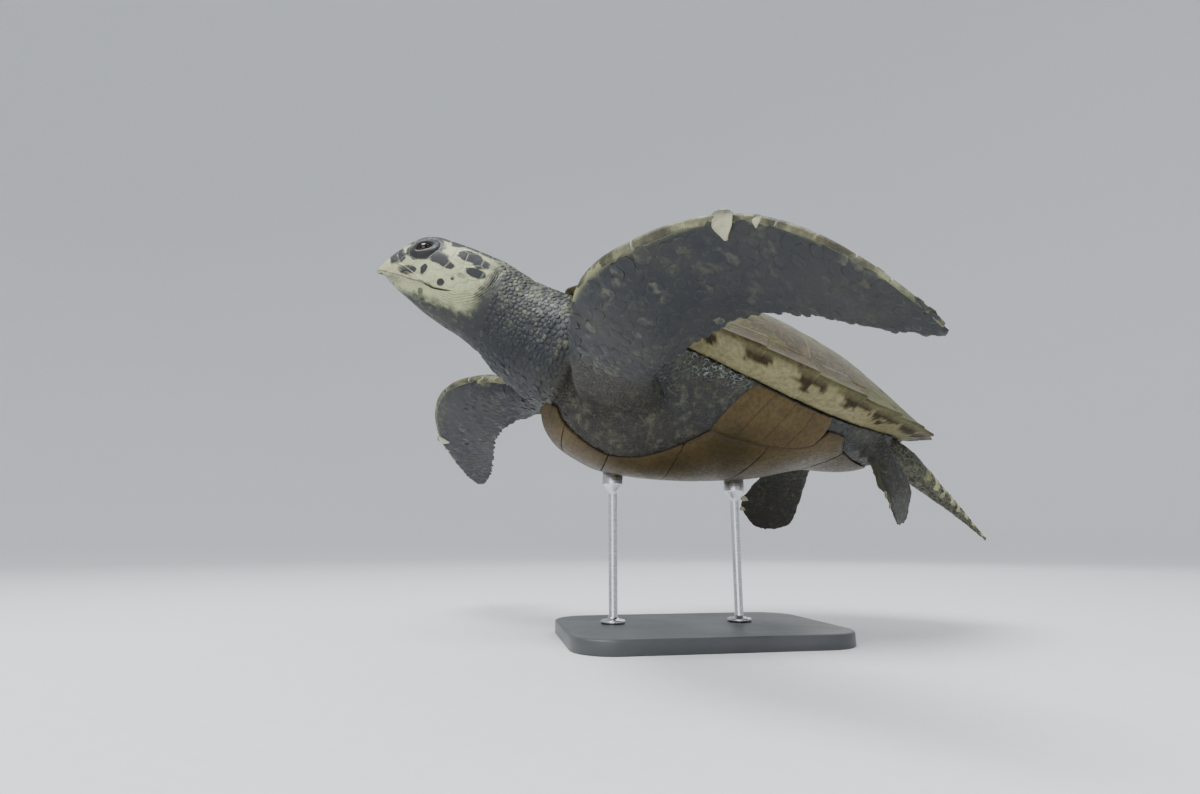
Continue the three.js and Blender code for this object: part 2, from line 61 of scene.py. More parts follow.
SEED = 7
VOXEL, KEPT_SHARE = 2.5, 0.32  # how finely the flesh is fused, and how much of it is kept
PLATE_ROOM = 5.2  # how far the skin draws back under the belly plates
BAKE_PATCH = 0.0015  # half the width of a scale on the bake map
GRANULE_SPACING, GRANULE_SIZE = 0.0046, 0.0058  # metres

# ---------------- driving dimensions (mm, degrees)
SHELL_LENGTH = 760
SHELL_WIDTH = 0.72 * SHELL_LENGTH
DOME_HEIGHT = 0.2 * SHELL_LENGTH
DOME_POWER = 1.25
RIM_MIDDLE, RIM_FRONT, RIM_REAR, RIM_POWER = 23, 23, 50, 2.2
MARGINALS = 12
SERRATION = 7
LIP_SIDE, LIP_END = 46, 28
LIP_RING_SIDE, LIP_RING_FRONT = 0.83, 0.92
NOSE_UP, LEFT_UP = 22.5, -7
BODY_HEIGHT, BODY_BACK = 449, 95
FRONT_FLIPPER, HIND_FLIPPER = 585, 190
EYE = {"x": 643, "y": 30, "z": -5, "radius": 17}
MM = 0.001


# ---------------- numbers and curves
def smooth_through(*pairs):
    """A smooth value that passes through (place, value) pairs and doesn't overshoot them."""
    places = np.array([p[0] for p in pairs], float)
    values = np.array([p[1] for p in pairs], float)
    grade = np.diff(values) / np.diff(places)
    slope = np.empty_like(values)
    slope[0], slope[-1] = grade[0], grade[-1]
    before, after = grade[:-1], grade[1:]
    turning = before * after <= 0
    total = np.where(turning, 1, before + after)
    slope[1:-1] = np.where(turning, 0, 2 * before * after / total)

    def value(place):
        place = np.asarray(place, float)
        i = np.clip(np.searchsorted(places, place, side="right") - 1, 0, len(places) - 2)
        width = places[i + 1] - places[i]
        t = np.clip((place - places[i]) / width, 0, 1)
        t2, t3 = t * t, t * t * t
        return ((2 * t3 - 3 * t2 + 1) * values[i] + (t3 - 2 * t2 + t) * width * slope[i]
                + (3 * t2 - 2 * t3) * values[i + 1] + (t3 - t2) * width * slope[i + 1])

    return value


def smoothstep(value, low, high):
    """0 below low, 1 above high, smooth in between."""
    t = np.clip((np.asarray(value, float) - low) / (high - low), 0, 1)
    return t * t * (3 - 2 * t)


def lerp(a, b, t):
    return a + (b - a) * t


def unit(vectors):
    return vectors / np.maximum(np.linalg.norm(vectors, axis=-1, keepdims=True), 1e-9)


def bump_at(points, centre, radius):
    """1 at a centre, falling smoothly to 0 with distance; radius may differ by axis."""
    away = (points - np.array(centre)) / np.array(radius)
    return np.exp(-np.sum(away * away, axis=-1))


def waves(points, scale, seed):
    """Smooth irregular noise between about -1 and 1, the sum of a few turned sine waves."""
    rng = np.random.default_rng(seed)
    total = np.zeros(points.shape[:-1])
    for octave in range(3):
        for _ in range(4):
            direction = unit(rng.normal(size=3)) * (2 * math.pi / scale) * 1.9 ** octave
            phase = rng.uniform(0, 2 * math.pi)
            total += np.sin(points @ direction + phase) / 2.0 ** octave
    return total / 4


# ---------------- meshes
def placing():
    """From the animal's own frame in millimetres to the part's frame in metres."""
    turn = Euler((math.radians(LEFT_UP), -math.radians(NOSE_UP), -math.pi / 2), "XYZ").to_matrix()
    lift = Matrix.Translation(Vector((0, BODY_BACK, BODY_HEIGHT)) * MM)
    return lift @ turn.to_4x4() @ Matrix.Scale(MM, 4)


def mesh_object(name, points, faces):
    """A new object from points in the part's frame and faces of any number of corners."""
    mesh = bpy.data.meshes.new(name)
    mesh.from_pydata(np.asarray(points).tolist(), [], [list(f) for f in faces])
    mesh.update()
    mesh.shade_smooth()
    piece = bpy.data.objects.new(name, mesh)
    bpy.context.scene.collection.objects.link(piece)
    return piece


def band(around, start, following):
    """Faces between two rings of points, each given by the number of its first point."""
    i = np.arange(around)
    j = (i + 1) % around
    return np.stack([start + i, start + j, following + j, following + i], 1)


def closed_loft(rings):
    """Points and faces of a closed surface over equal rings, ends closed on their middles."""
    rings = np.asarray(rings, float)
    count, around = rings.shape[:2]
    points = np.concatenate([rings.reshape(-1, 3), rings[0].mean(0)[None], rings[-1].mean(0)[None]])
    i = np.arange(around)
    j = (i + 1) % around
    faces = []
    for r in range(count - 1):
        faces += band(around, r * around, (r + 1) * around).tolist()
    first, last = count * around, count * around + 1
    faces += np.stack([np.full(around, first), j, i], 1).tolist()
    end = (count - 1) * around
    faces += np.stack([np.full(around, last), end + i, end + j], 1).tolist()
    return facing_out(points, faces)


def facing_out(points, faces):
    """A closed surface, turned inside out if it encloses less than nothing."""
    total = 0.0
    for size in (3, 4):
        some = np.array([f for f in faces if len(f) == size])
        for k in range(1, size - 1):
            if len(some):
                a, b, c = points[some[:, 0]], points[some[:, k]], points[some[:, k + 1]]
                total += np.einsum("ij,ij->i", a, np.cross(b, c)).sum()
    return points, [f[::-1] for f in faces] if total < 0 else faces


def joined(parts):
    """Several (points, faces) as one."""
    points, faces, start = [], [], 0
    for some_points, some_faces in parts:
        points.append(some_points)
        faces += [[start + i for i in f] for f in some_faces]
        start += len(some_points)
    return np.concatenate(points), faces


def set_attribute(piece, name, values):
    """One number for each point of the mesh, or the same for all, for its material to read."""
    attribute = piece.data.attributes.new(name, "FLOAT", "POINT")
    values = np.broadcast_to(np.asarray(values, np.float32), len(attribute.data))
    attribute.data.foreach_set("value", np.ascontiguousarray(values))


def set_vector(piece, name, values):
    attribute = piece.data.attributes.new(name, "FLOAT_VECTOR", "POINT")
    attribute.data.foreach_set("vector", np.asarray(values, np.float32).ravel())


def set_uv(piece, name, point_uv):
    layer = piece.data.uv_layers.new(name=name)
    corner = np.empty(len(piece.data.loops), np.int32)
    piece.data.loops.foreach_get("vertex_index", corner)
    layer.data.foreach_set("uv", np.asarray(point_uv, np.float32)[corner].ravel())


def finish_piece(piece, material, slot, *nodes):
    """Gives a piece its material, its body and the CAD nodes that it stands for; slot is not used."""
    piece.data.materials.clear()
    piece.data.materials.append(material)
    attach(piece, "root")
    if nodes:
        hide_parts(*nodes)
    return piece


# ---------------- shell surfaces
def rim(turn):
    """The shell's rim: turn 0 is the front, a quarter turn the left side."""
    c, s = np.cos(turn), np.sin(turn)
    lift = np.where(c > 0, RIM_FRONT, RIM_REAR)
    return np.stack([
        0.5 * SHELL_LENGTH * c,
        0.5 * SHELL_WIDTH * s * (1 + 0.1 * c - 0.1 * c * c),
        RIM_MIDDLE + lift * np.abs(c) ** RIM_POWER,
    ], -1)


def lip_ring(turn):
    """The share of the rim where the marginals' underside meets the flesh."""
    return lerp(LIP_RING_SIDE, LIP_RING_FRONT, np.maximum(0, np.cos(turn)) ** 3)


def lip_height(turn):
    """How high the marginals' underside meets the flesh."""
    return rim(turn)[..., 2] - lerp(LIP_END, LIP_SIDE, np.sin(turn) ** 2)


def dome(turn, share, lower=0.0):
    """The top of the shell, from its middle (share 0) out to the rim (share 1)."""
    edge = rim(turn)
    rise = DOME_HEIGHT * np.maximum(0, 1 - share * share) ** DOME_POWER
    share = np.asarray(share)
    return np.stack([edge[..., 0] * share, edge[..., 1] * share,
                     edge[..., 2] * share + rise - lower], -1)


RIM_TABLE = np.linspace(-math.pi, math.pi, 721)
RIM_ANGLE = np.unwrap(np.arctan2(rim(RIM_TABLE)[:, 1], rim(RIM_TABLE)[:, 0]))


def turn_and_share(x, y):
    """Where a point seen from above lies: its turn round the shell and its share of the rim."""
    turn = np.interp(np.arctan2(y, x), RIM_ANGLE, RIM_TABLE)
    edge = rim(turn)
    return turn, np.hypot(x, y) / np.hypot(edge[..., 0], edge[..., 1])


def dome_height(x, y):
    """How high the top of the shell lies over a point seen from above."""
    turn, share = turn_and_share(x, y)
    return dome(turn, np.minimum(share, 1))[..., 2]


belly_line = smooth_through(
    (-330, -70), (-290, -92), (-240, -91), (-194, -93), (-79, -148), (46, -203), (137, -233),
    (206, -246), (266, -246), (312, -240), (336, -230), (352, -216))


def belly(turn, share, inset=0.0):
    """The belly and flanks, from the middle (share 0) out to the marginals (share 1)."""
    edge = rim(turn)
    out = lip_ring(turn) - inset / np.hypot(edge[..., 0], edge[..., 1])
    x, y = edge[..., 0] * out * share, edge[..., 1] * out * share
    forward = np.cos(turn)
    fullness = 1.8 + np.where(forward > 0, 4.2, 0.9) * forward ** 2
    depth = np.maximum(0, 1 - share ** fullness) ** (1 / fullness)
    top = lip_height(turn) + 0.6 * inset
    return np.stack([x, y, top + (belly_line(x) + inset - top) * depth], -1)


def belly_height(x, y):
    """How high the belly's surface lies over a point seen from above."""
    turn, share = turn_and_share(x, y)
    return belly(turn, np.clip(share / lip_ring(turn), 0, 1))[..., 2]


# ---------------- head, neck and tail surfaces
crown_line = smooth_through(
    (262, -20), (335, 30), (391, 32), (433, 33), (478, 40), (511, 44), (569, 42), (604, 39),
    (633, 36), (657, 26), (676, 6), (690, -16), (701, -38), (709, -58), (712, -68))
throat_line = smooth_through(
    (262, -130), (320, -184), (352, -182), (400, -168), (447, -153), (477, -136), (525, -122),
    (562, -116), (601, -108), (634, -98), (672, -86), (690, -79), (701, -75), (712, -73))
head_width = smooth_through(
    (262, 90), (325, 142), (350, 138), (400, 110), (447, 86), (490, 72), (525, 65), (562, 64),
    (601, 59), (634, 49), (660, 37), (680, 27), (695, 17), (706, 9), (712, 3))
mouth_line = smooth_through(
    (540, -57), (562, -59), (573, -61.5), (582, -63.5), (598, -65.5), (616, -63), (628, -63.5),
    (640, -65.5), (655, -65), (680, -66), (720, -68))


def head_surface(x, angle, inset=0.0):
    """The head and neck: angle 0 is the left side, a quarter turn the crown."""
    x = np.asarray(x, float)
    crown, throat = crown_line(x) - inset, throat_line(x) + inset
    middle = (crown + throat) / 2
    c, s = np.cos(angle), np.sin(angle)
    power = np.where(s > 0, 0.84, 1.06)
    side = (head_width(x) - inset) * np.sign(c) * np.abs(c) ** power
    reach = np.where(s > 0, crown - middle, middle - throat)
    z = middle + reach * np.sign(s) * np.abs(s) ** 0.86
    return np.stack([x + 0 * angle, side, z], -1)


tail_height = smooth_through(
    (-590, -61), (-538, -41), (-500, -27), (-457, -13), (-408, 3), (-378, 13), (-290, 24))
tail_radius = smooth_through(
    (-590, 2.5), (-538, 8.5), (-500, 13), (-457, 18.5), (-408, 25), (-378, 28), (-290, 38))


def tail_surface(x, angle, inset=0.0):
    """The tail: angle 0 is the left side, a quarter turn the top."""
    radius = tail_radius(x) - inset
    return np.stack([x + 0 * angle, radius * np.cos(angle),
                     tail_height(x) + radius * np.sin(angle)], -1)


# ---------------- flippers
def flipper_spine(start, side, length, sweep, lift, twist):
    """Points and directions along a flipper, from its shoulder or hip (0) out to the tip (1)."""
    def directions(u):
        a, e, r = (np.radians(f(u)) for f in (sweep, lift, twist))
        zero = 0 * a
        along = np.stack([np.cos(e) * np.sin(a), side * np.cos(e) * np.cos(a), np.sin(e)], -1)
        flat = np.stack([np.cos(a), -side * np.sin(a), zero], -1)
        upright = np.stack([-np.sin(e) * np.sin(a), -side * np.sin(e) * np.cos(a), np.cos(e)], -1)
        cos_r, sin_r = np.cos(r)[..., None], np.sin(r)[..., None]
        return along, flat * cos_r + upright * sin_r, upright * cos_r - flat * sin_r

    count = 60
    middles = (np.arange(count) + 0.5) / count
    steps = directions(middles)[0] * length / count
    table = np.concatenate([np.array([start], float), np.array(start) + np.cumsum(steps, 0)])
    knots = np.linspace(0, 1, count + 1)

    def spine(u):
        u = np.asarray(u, float)
        inside = np.maximum(u, 0)
        along, chord, up = directions(inside)
        point = np.stack([np.interp(inside, knots, table[:, k]) for k in range(3)], -1)
        point = point + along * (np.minimum(u, 0) * length)[..., None]
        return point, along, chord, up

    return spine


def round_tip(u, start):
    """Rounds the end of a flipper off, from start on."""
    t = np.clip((u - start) / (1 - start), 0, 1)
    return np.sqrt(np.maximum(0, 1 - t * t))


front_lead = smooth_through(
    (-0.2, 0.12), (0, 0.11), (0.2, 0.13), (0.4, 0.153), (0.6, 0.129), (0.8, 0.086), (0.92, 0.056),
    (1, 0.04))
front_trail = smooth_through(
    (-0.2, 0.12), (0, 0.125), (0.2, 0.118), (0.4, 0.13), (0.6, 0.118), (0.8, 0.08), (0.92, 0.052),
    (1, 0.036))
front_thickness = smooth_through(
    (-0.2, 150), (-0.05, 122), (0.08, 86), (0.22, 54), (0.4, 36), (0.6, 23), (0.8, 15), (1, 5))
hind_lead = smooth_through(
    (-0.4, 0.22), (0, 0.2), (0.25, 0.23), (0.5, 0.3), (0.75, 0.33), (0.9, 0.3), (1, 0.25))
hind_trail = smooth_through(
    (-0.4, 0.26), (0, 0.22), (0.25, 0.24), (0.5, 0.3), (0.75, 0.33), (0.9, 0.3), (1, 0.22))
hind_thickness = smooth_through((-0.4, 78), (0, 58), (0.3, 34), (0.6, 20), (0.85, 11), (1, 5))

FLIPPERS = {
    "front_flipper_left": {
        "start": (261, 241, -100), "side": 1, "length": FRONT_FLIPPER, "armpit": 0.3, "spread": 0.26,
        "sweep": smooth_through((0, 13), (0.22, 0), (0.45, -30), (0.72, -38), (1, -65)),
        "lift": smooth_through((0, 0), (0.22, 13), (0.45, 28), (0.72, -10), (1, -14)),
        "twist": smooth_through((0, 9), (0.22, 15), (0.45, 11), (0.72, 20), (1, 2)),
    },
    "front_flipper_right": {
        "start": (309, -148, -129), "side": -1, "length": 0.96 * FRONT_FLIPPER, "armpit": -0.35,
        "spread": -0.03,
        "sweep": smooth_through((0, 87), (0.22, 55), (0.45, 5), (0.72, -22), (1, -18)),
        "lift": smooth_through((0, -25), (0.22, -26), (0.45, -32), (0.72, -23), (1, -25)),
        "twist": smooth_through((0, 3), (0.22, 24), (0.45, 4), (0.72, -22), (1, -38)),
    },
    "hind_flipper_left": {
        "start": (-250, 104, -10), "side": 1, "length": 0.76 * HIND_FLIPPER, "width": 0.82,
        "sweep": smooth_through((0, -58), (0.5, -50), (1, -38)),
        "lift": smooth_through((0, -36), (0.5, -56), (1, -80)),
        "twist": smooth_through((0, -38), (0.5, -30), (0.72, -9), (1, 4)),
    },
    "hind_flipper_right": {
        "start": (-206, -124, -62), "side": -1, "length": 0.95 * HIND_FLIPPER, "width": 1,
        "sweep": smooth_through((0, -20), (0.5, -8), (1, -4)),
        "lift": smooth_through((0, -40), (0.5, -56), (1, -66)),
        "twist": smooth_through((0, 0), (1, 0)),
    },
}
EDGE_HALF = 1.9  # a flipper's edge is never thinner than twice this
CLAWS = {
    "front": ((0.625, 36), (0.69, 14)),
    "hind": ((0.7, 17), (0.84, 13)),
}


class Flipper:
    """One flipper's outline, section and frame."""

    def __init__(self, name):
        pose = FLIPPERS[name]
        self.name = name
        self.front = name.startswith("front")
        self.length = pose["length"]
        self.plan = pose["length"] if self.front else HIND_FLIPPER * pose["width"]
        self.tip = 0.86 if self.front else 0.72
        self.armpit = pose.get("armpit", 0)
        self.spread = pose.get("spread", 0)
        self.side = pose["side"]
        self.spine = flipper_spine(*(pose[k] for k in
                                     ("start", "side", "length", "sweep", "lift", "twist")))

    def opening(self, u, start, end):
        """How much wider the outer third of the blade is with the hand open."""
        return 1 + self.spread * smoothstep(u, start, end)

    def lead(self, u):
        share = front_lead(u) if self.front else hind_lead(u)
        return share * self.opening(u, 0.6, 0.86) * self.plan * round_tip(u, self.tip)

    def trail(self, u):
        share = (front_trail(u) if self.front else hind_trail(u)) * self.opening(u, 0.74, 0.9) \
            + self.armpit * np.maximum(0, -u)
        ragged = 1 + 0.035 * np.abs(np.sin(u * (34 if self.front else 16) + 2 * np.sin(9 * u))) - 0.02
        return share * self.plan * round_tip(u, self.tip) * ragged

    def surface(self, u, angle, inset=0.0):
        """A point of the hide: angle 0 is the leading edge, a quarter turn the upper face."""
        point, _, chord, up = self.spine(u)
        front, back = self.lead(u) - inset, self.trail(u) - inset
        thick = (front_thickness(u) if self.front else hind_thickness(u)) / 2 - inset
        c, s = np.cos(angle), np.sin(angle)
        across = (front - back) / 2 + (front + back) / 2 * np.sign(c) * np.abs(c) ** 0.9
        lens = thick * (0.72 + 0.28 * c) * np.abs(s) ** 0.8
        lens = np.sign(s) * np.maximum(lens, np.minimum(EDGE_HALF, 9 * np.abs(s)))
        return point + chord * across[..., None] + up * lens[..., None]


FLIPPER_SHAPES = {name: Flipper(name) for name in FLIPPERS}


# ---------------- outlines seen from above
def plastron_outline():
    """The outline of the belly plates, seen from above."""
    half = [(344, 0), (337, 46), (310, 84), (262, 108), (210, 122), (150, 146), (90, 180), (40, 212),
            (8, 300), (-128, 300), (-150, 190), (-180, 136), (-222, 96), (-262, 60), (-286, 28),
            (-292, 0)]
    other = [(x, -y) for x, y in reversed(half[1:-1])]
    return np.array(half + other, float)


def depth_inside(x, y, outline):
    """Distance in from a closed outline, negative outside it."""
    points = np.stack([x, y], -1)
    nearest = np.full(points.shape[:-1], np.inf)
    inside = np.zeros(points.shape[:-1], bool)
    for a, b in zip(outline, np.roll(outline, -1, axis=0)):
        run = b - a
        t = np.clip(((points - a) @ run) / (run @ run), 0, 1)
        nearest = np.minimum(nearest, np.linalg.norm(points - a - t[..., None] * run, axis=-1))
        crosses = (a[1] > y) != (b[1] > y)
        at = a[0] + (y - a[1]) * run[0] / (run[1] if run[1] else 1e-9)
        inside ^= crosses & (x < at)
    return np.where(inside, nearest, -nearest)


# ---------------- the skin
SKIN_NODES = ("trunk", "neck", "head", "lower_jaw", "front_flipper_left", "front_flipper_right",
              "hind_flipper_left", "hind_flipper_right", "tail")
NOSTRIL = (685, 6, -12)
JAW_CORNER = (573, -5)  # middle of the arcs of the cheek, x and z
COAT_DEPTH = 1.2  # how far the skin lies inside the outline, to leave room for the scales
JUNCTIONS = (
    ((250, 175, -80), 90), ((250, -165, -105), 85), ((335, 60, -60), 80), ((335, -60, -60), 80),
    ((335, 0, -190), 70), ((335, 0, 20), 70), ((-300, 0, 10), 60), ((-235, 90, -20), 55),
    ((-205, -110, -55), 50),
)


def flesh():
    """The head and neck, trunk, flippers and tail as closed lofts that run into each other."""
    turns = np.linspace(0, 2 * math.pi, 160, endpoint=False)
    signed = np.where(turns > math.pi, turns - 2 * math.pi, turns)
    shares = (0.15, 0.3, 0.42, 0.53, 0.63, 0.72, 0.79, 0.85, 0.9, 0.94, 0.97, 0.99, 1)
    rings = [belly(signed, share, COAT_DEPTH) for share in shares]
    shelf = np.stack([rim(signed)[:, 0] * 0.8, rim(signed)[:, 1] * 0.8, lip_height(signed)], -1)
    rings += [shelf, dome(signed, 0.735, 18), dome(signed, 0.4, 18)]
    parts = [closed_loft(rings)]
    angles = np.linspace(0, 2 * math.pi, 80, endpoint=False)
    places = np.concatenate([np.linspace(262, 640, 64), np.linspace(645, 710.5, 26)])
    parts.append(closed_loft([head_surface(x, angles, COAT_DEPTH) for x in places]))
    parts.append(closed_loft([tail_surface(x, angles[::2], COAT_DEPTH)
                              for x in np.linspace(-290, -588, 50)]))
    for shape in FLIPPER_SHAPES.values():
        first = -0.19 if shape.front else -0.38
        stations = np.concatenate([np.linspace(first, 0.85, 56), np.linspace(0.86, 0.996, 24)])
        parts.append(closed_loft([shape.surface(u, angles[::2], COAT_DEPTH) for u in stations]))
    return joined(parts)


def evaluated(piece):
    """The piece's mesh with its modifiers applied, and the piece without them."""
    graph = bpy.context.evaluated_depsgraph_get()
    mesh = bpy.data.meshes.new_from_object(piece.evaluated_get(graph))
    piece.modifiers.clear()
    old = piece.data
    piece.data = mesh
    bpy.data.meshes.remove(old)
    return piece


def read_vectors(items, name):
    flat = np.empty(len(items) * 3, np.float32)
    items.foreach_get(name, flat)
    return flat.reshape(-1, 3).astype(float)


def points_of(piece):
    return read_vectors(piece.data.vertices, "co")


def lookup(points):
    """A tree that finds which of some points lie near a place."""
    tree = kdtree.KDTree(len(points))
    for i, point in enumerate(points.tolist()):
        tree.insert(point, i)
    tree.balance()
    return tree


def set_points(piece, points):
    piece.data.vertices.foreach_set("co", np.asarray(points, np.float32).ravel())
    piece.data.update()


def relax(piece, weight, rounds):
    """Smooths a mesh: each point moves towards the middle of its neighbours by its weight."""
    edges = np.empty(len(piece.data.edges) * 2, np.int32)
    piece.data.edges.foreach_get("vertices", edges)
    a, b = edges.reshape(-1, 2).T
    points = points_of(piece)
    count = np.bincount(a, minlength=len(points)) + np.bincount(b, minlength=len(points))
    for _ in range(rounds):
        middle = np.stack([np.bincount(a, points[b, k], len(points))
                           + np.bincount(b, points[a, k], len(points)) for k in range(3)], 1)
        points += (middle / count[:, None] - points) * weight[:, None]
    set_points(piece, points)


def hidden_flesh(points):
    """Where the flesh lies out of sight, well under the shell or the plastron."""
    x, y, z = points.T
    turn, share = turn_and_share(x, y)
    under_shell = (share < 0.76) & (z > lip_height(turn) + 4) & (x > -300) & (x < 300)
    under_plate = (depth_inside(x, y, plastron_outline()) > 16) & (z < lip_height(turn) - 4)
    return under_shell | (under_plate & (share < 0.8))


def close_hidden(piece):
    """Cuts the hidden flesh away and closes each opening on a middle point set well inside."""
    bm = bmesh.new()
    bm.from_mesh(piece.data)
    bm.verts.ensure_lookup_table()
    hidden = hidden_flesh(points_of(piece))
    gone = [f for f in bm.faces if all(hidden[v.index] for v in f.verts)]
    bmesh.ops.delete(bm, geom=gone, context="FACES")
    border = [e for e in bm.edges if len(e.link_faces) == 1]
    caps = bmesh.ops.holes_fill(bm, edges=border, sides=0)["faces"]
    hubs = bmesh.ops.poke(bm, faces=caps)["verts"]
    for hub in hubs:
        hub.co.z += -30 if hub.co.z > 0 else 30
    bm.to_mesh(piece.data)
    bm.free()


def refine(piece, region):
    """Splits the faces of a region to make room for fine detail."""
    bm = bmesh.new()
    bm.from_mesh(piece.data)
    points = np.array([v.co[:] for v in bm.verts])
    chosen = region(points)
    edges = [e for e in bm.edges if chosen[e.verts[0].index] and chosen[e.verts[1].index]]
    bmesh.ops.subdivide_edges(bm, edges=edges, cuts=1, use_grid_fill=True)
    bmesh.ops.triangulate(bm, faces=[f for f in bm.faces if len(f.verts) > 4])
    bm.to_mesh(piece.data)
    bm.free()


# ---------------- markings, shared by skin and coat
HEAD_PATCHES = (
    # x, z, half length, half height, tilt in degrees (rear end up), darkness
    (641, 0, 38, 27, 40, 1.0), (657, -14, 18, 20, 50, 1.0), (686, -34, 17, 18, 30, 1.0),
    (655, -52, 18, 9, 14, 1.0), (627, -41, 6.5, 12, 0, 1.0), (608, -12, 17, 13, 20, 1.0),
    (593, -18, 17, 9, -8, 1.0), (560, 14, 24, 14, 4, 1.0), (540, 10, 20, 12, 4, 0.9),
    (538, -12, 22, 9, 6, 0.95), (560, -27, 10, 6, 0, 0.5), (588, -53, 7, 8, 0, 1.0),
    (571, -38, 4.5, 5, 0, 0.85), (617, -79, 7, 6, 0, 0.7), (594, 28, 13, 8, 20, 0.95),
    (668, 4, 12, 8, 50, 0.8), (575, 36, 14, 8, 10, 0.95),
)


def head_darkness(points):
    """The dark patches of the face: 0 on the cream ground, 1 in the middle of a patch."""
    x, _, z = points.T
    ragged = 0.16 * waves(points, 16, 3)
    dark = np.zeros(len(points))
    for px, pz, long, high, tilt, depth in HEAD_PATCHES:
        c, s = math.cos(math.radians(tilt)), math.sin(math.radians(tilt))
        along = (-(x - px) * c + (z - pz) * s) / long
        up = ((x - px) * s + (z - pz) * c) / high
        reach = np.sqrt(along ** 2 + up ** 2) + ragged
        dark = np.maximum(dark, depth * (1 - smoothstep(reach, 0.78, 1.08)))
    top = crown_line(x) + 8 * ragged
    crown = smoothstep(z, top - 17, top - 9) * smoothstep(x, 500, 520) * (1 - smoothstep(x, 672, 690))
    # Partly painted shade: the face darkens below the mouth towards the throat, and the lower jaw's
    # front (tip) is darker; part is the throat's own colour, part is the shade of light from above.
    below = smoothstep(mouth_line(np.maximum(x, 585)) - z - 24 * ragged, 6, 32)
    tip = 0.5 * smoothstep(x, 630, 680) * smoothstep(mouth_line(x) - z, 0, 6)
    return np.maximum.reduce([dark, 0.9 * crown, 0.84 * below, tip])


def flipper_place(points, shape):
    """Where points lie along a flipper (0 to 1) and from its trailing (-1) to leading (1) edge."""
    stations = np.linspace(-0.15, 1, 116)
    middle, along, chord, _ = shape.spine(stations)
    tree = lookup(middle)
    index = np.array([tree.find(p)[1] for p in points])
    offset = points - middle[index]
    u = stations[index] + np.einsum("ij,ij->i", offset, along[index]) / shape.length
    across = np.einsum("ij,ij->i", offset, chord[index])
    return u, np.where(across > 0, across / np.maximum(shape.lead(u), 1),
                       across / np.maximum(shape.trail(u), 1))


def near_flipper(points, shape):
    """Which points belong to a flipper, clear of the body."""
    x, y, z = points.T
    if shape.front:
        root = np.array(shape.spine(np.array([0.1]))[0][0])
        out = (points - root) @ np.array(shape.spine(np.array([0.1]))[1][0])
        beyond = np.abs(y) > (205 if shape.side > 0 else 150)
        return (out > 0) & (y * shape.side > 0) & (beyond | (x > 330)) & (x < 480) & (np.abs(y) > 120)
    return (x < -200) & (y * shape.side > 60) & (z < -28)


MARKS = ("dark", "warm", "pale", "veins")


def markings(points):
    """The hide's darkness, warmth, paleness and veins, pale lines of painted highlight under the rim
    (MARKS), for any point of the animal.
    """
    x, y, z = points.T
    mottle = waves(points, 60, 11)
    dark = np.full(len(points), 0.87) + 0.06 * mottle
    warm = np.full(len(points), 0.45) + 0.2 * waves(points, 150, 12)
    neck = smoothstep(x, 300, 360)
    height = (z - throat_line(x)) / (crown_line(x) - throat_line(x))
    # Painted light: the neck is painted lighter towards its top, as if lit from above.
    neck_dark = 0.95 - 0.2 * smoothstep(height, 0.3, 0.95) + 0.08 * mottle
    dark = lerp(dark, neck_dark, neck)
    warm = lerp(warm, 0.12 + 0.15 * mottle, neck)
    face = smoothstep(x + 6 * mottle, 495, 545)
    # Painted shade: the hide is darker in the creases of the cheek's arcs.
    crease_shade = np.clip(-cheek_wrinkles(points) / 0.75, 0, 1)
    # Painted shadow: a dark line along the mouth, under the edge of the upper jaw.
    mouth_shadow = np.exp(-((z + 0.5 - mouth_line(x)) / 2.1) ** 2) * smoothstep(x, 556, 576)
    # Painted shade: the nostrils' dents are darkened.
    nostril_shade = bump_at(np.stack([x, np.abs(y), z], 1), NOSTRIL, 3.4)
    head = np.maximum.reduce([head_darkness(points), 0.45 * crease_shade, mouth_shadow, nostril_shade])
    dark = lerp(dark, head, face)
    warm = lerp(warm, 0.25, face)
    # Painted highlight: a network of pale lines under the rim, for the glints of light on the wrinkled
    # hide there.
    under_rim = bump_at(np.stack([x, np.abs(y), z], 1), (112, 215, -20), (110, 70, 34))
    veins = smoothstep(under_rim + 0.12 * mottle, 0.3, 0.75)
    belly_side = 1 - smoothstep(z, -150, -90)
    warm = lerp(warm, 0.75, belly_side * (1 - neck))
    pale = np.zeros(len(points))
    for shape in FLIPPER_SHAPES.values():
        chosen = np.nonzero(near_flipper(points, shape))[0]
        if not len(chosen):
            continue
        u, across = flipper_place(points[chosen], shape)
        out = smoothstep(u, 0.02, 0.2)
        dark[chosen] = lerp(dark[chosen], 0.93 + 0.06 * mottle[chosen], out)
        warm[chosen] = lerp(warm[chosen], 0.18 if shape.front else 0.7, out)
        edge = smoothstep(np.abs(across), 0.9, 1.0) * smoothstep(u, 0.55, 0.75)
        lead = smoothstep(across, 0.86, 0.97) * smoothstep(u, 0.1, 0.25)
        pale[chosen] = np.maximum(0.8 * edge, 0.6 * lead) * out * (1 if shape.front else 0.15)
    tail = smoothstep(-x, 300, 340) * (np.abs(y) < 45) * (z > tail_height(x) - 60)
    dark = lerp(dark, 0.8, tail)
    warm = lerp(warm, 0.75, tail)
    over = smoothstep((z - tail_height(x)) / tail_radius(np.clip(x, -588, -300)), -0.5, 0.1)
    rows = np.sin((x + 0.35 * np.abs(y)) * 2 * math.pi / 23 + 1.5 * waves(points, 45, 9))
    rows = smoothstep(rows, 0.1, 0.5)
    pale = np.maximum(pale, over * rows * smoothstep(-x, 395, 430) * (np.abs(y) < 40))
    return [np.clip(values, 0, 1) for values in (dark, warm, pale, veins)]


def paint(piece, points):
    """Stores the markings on a piece, for its material."""
    for name, values in zip(MARKS, markings(points)):
        set_attribute(piece, name, values)


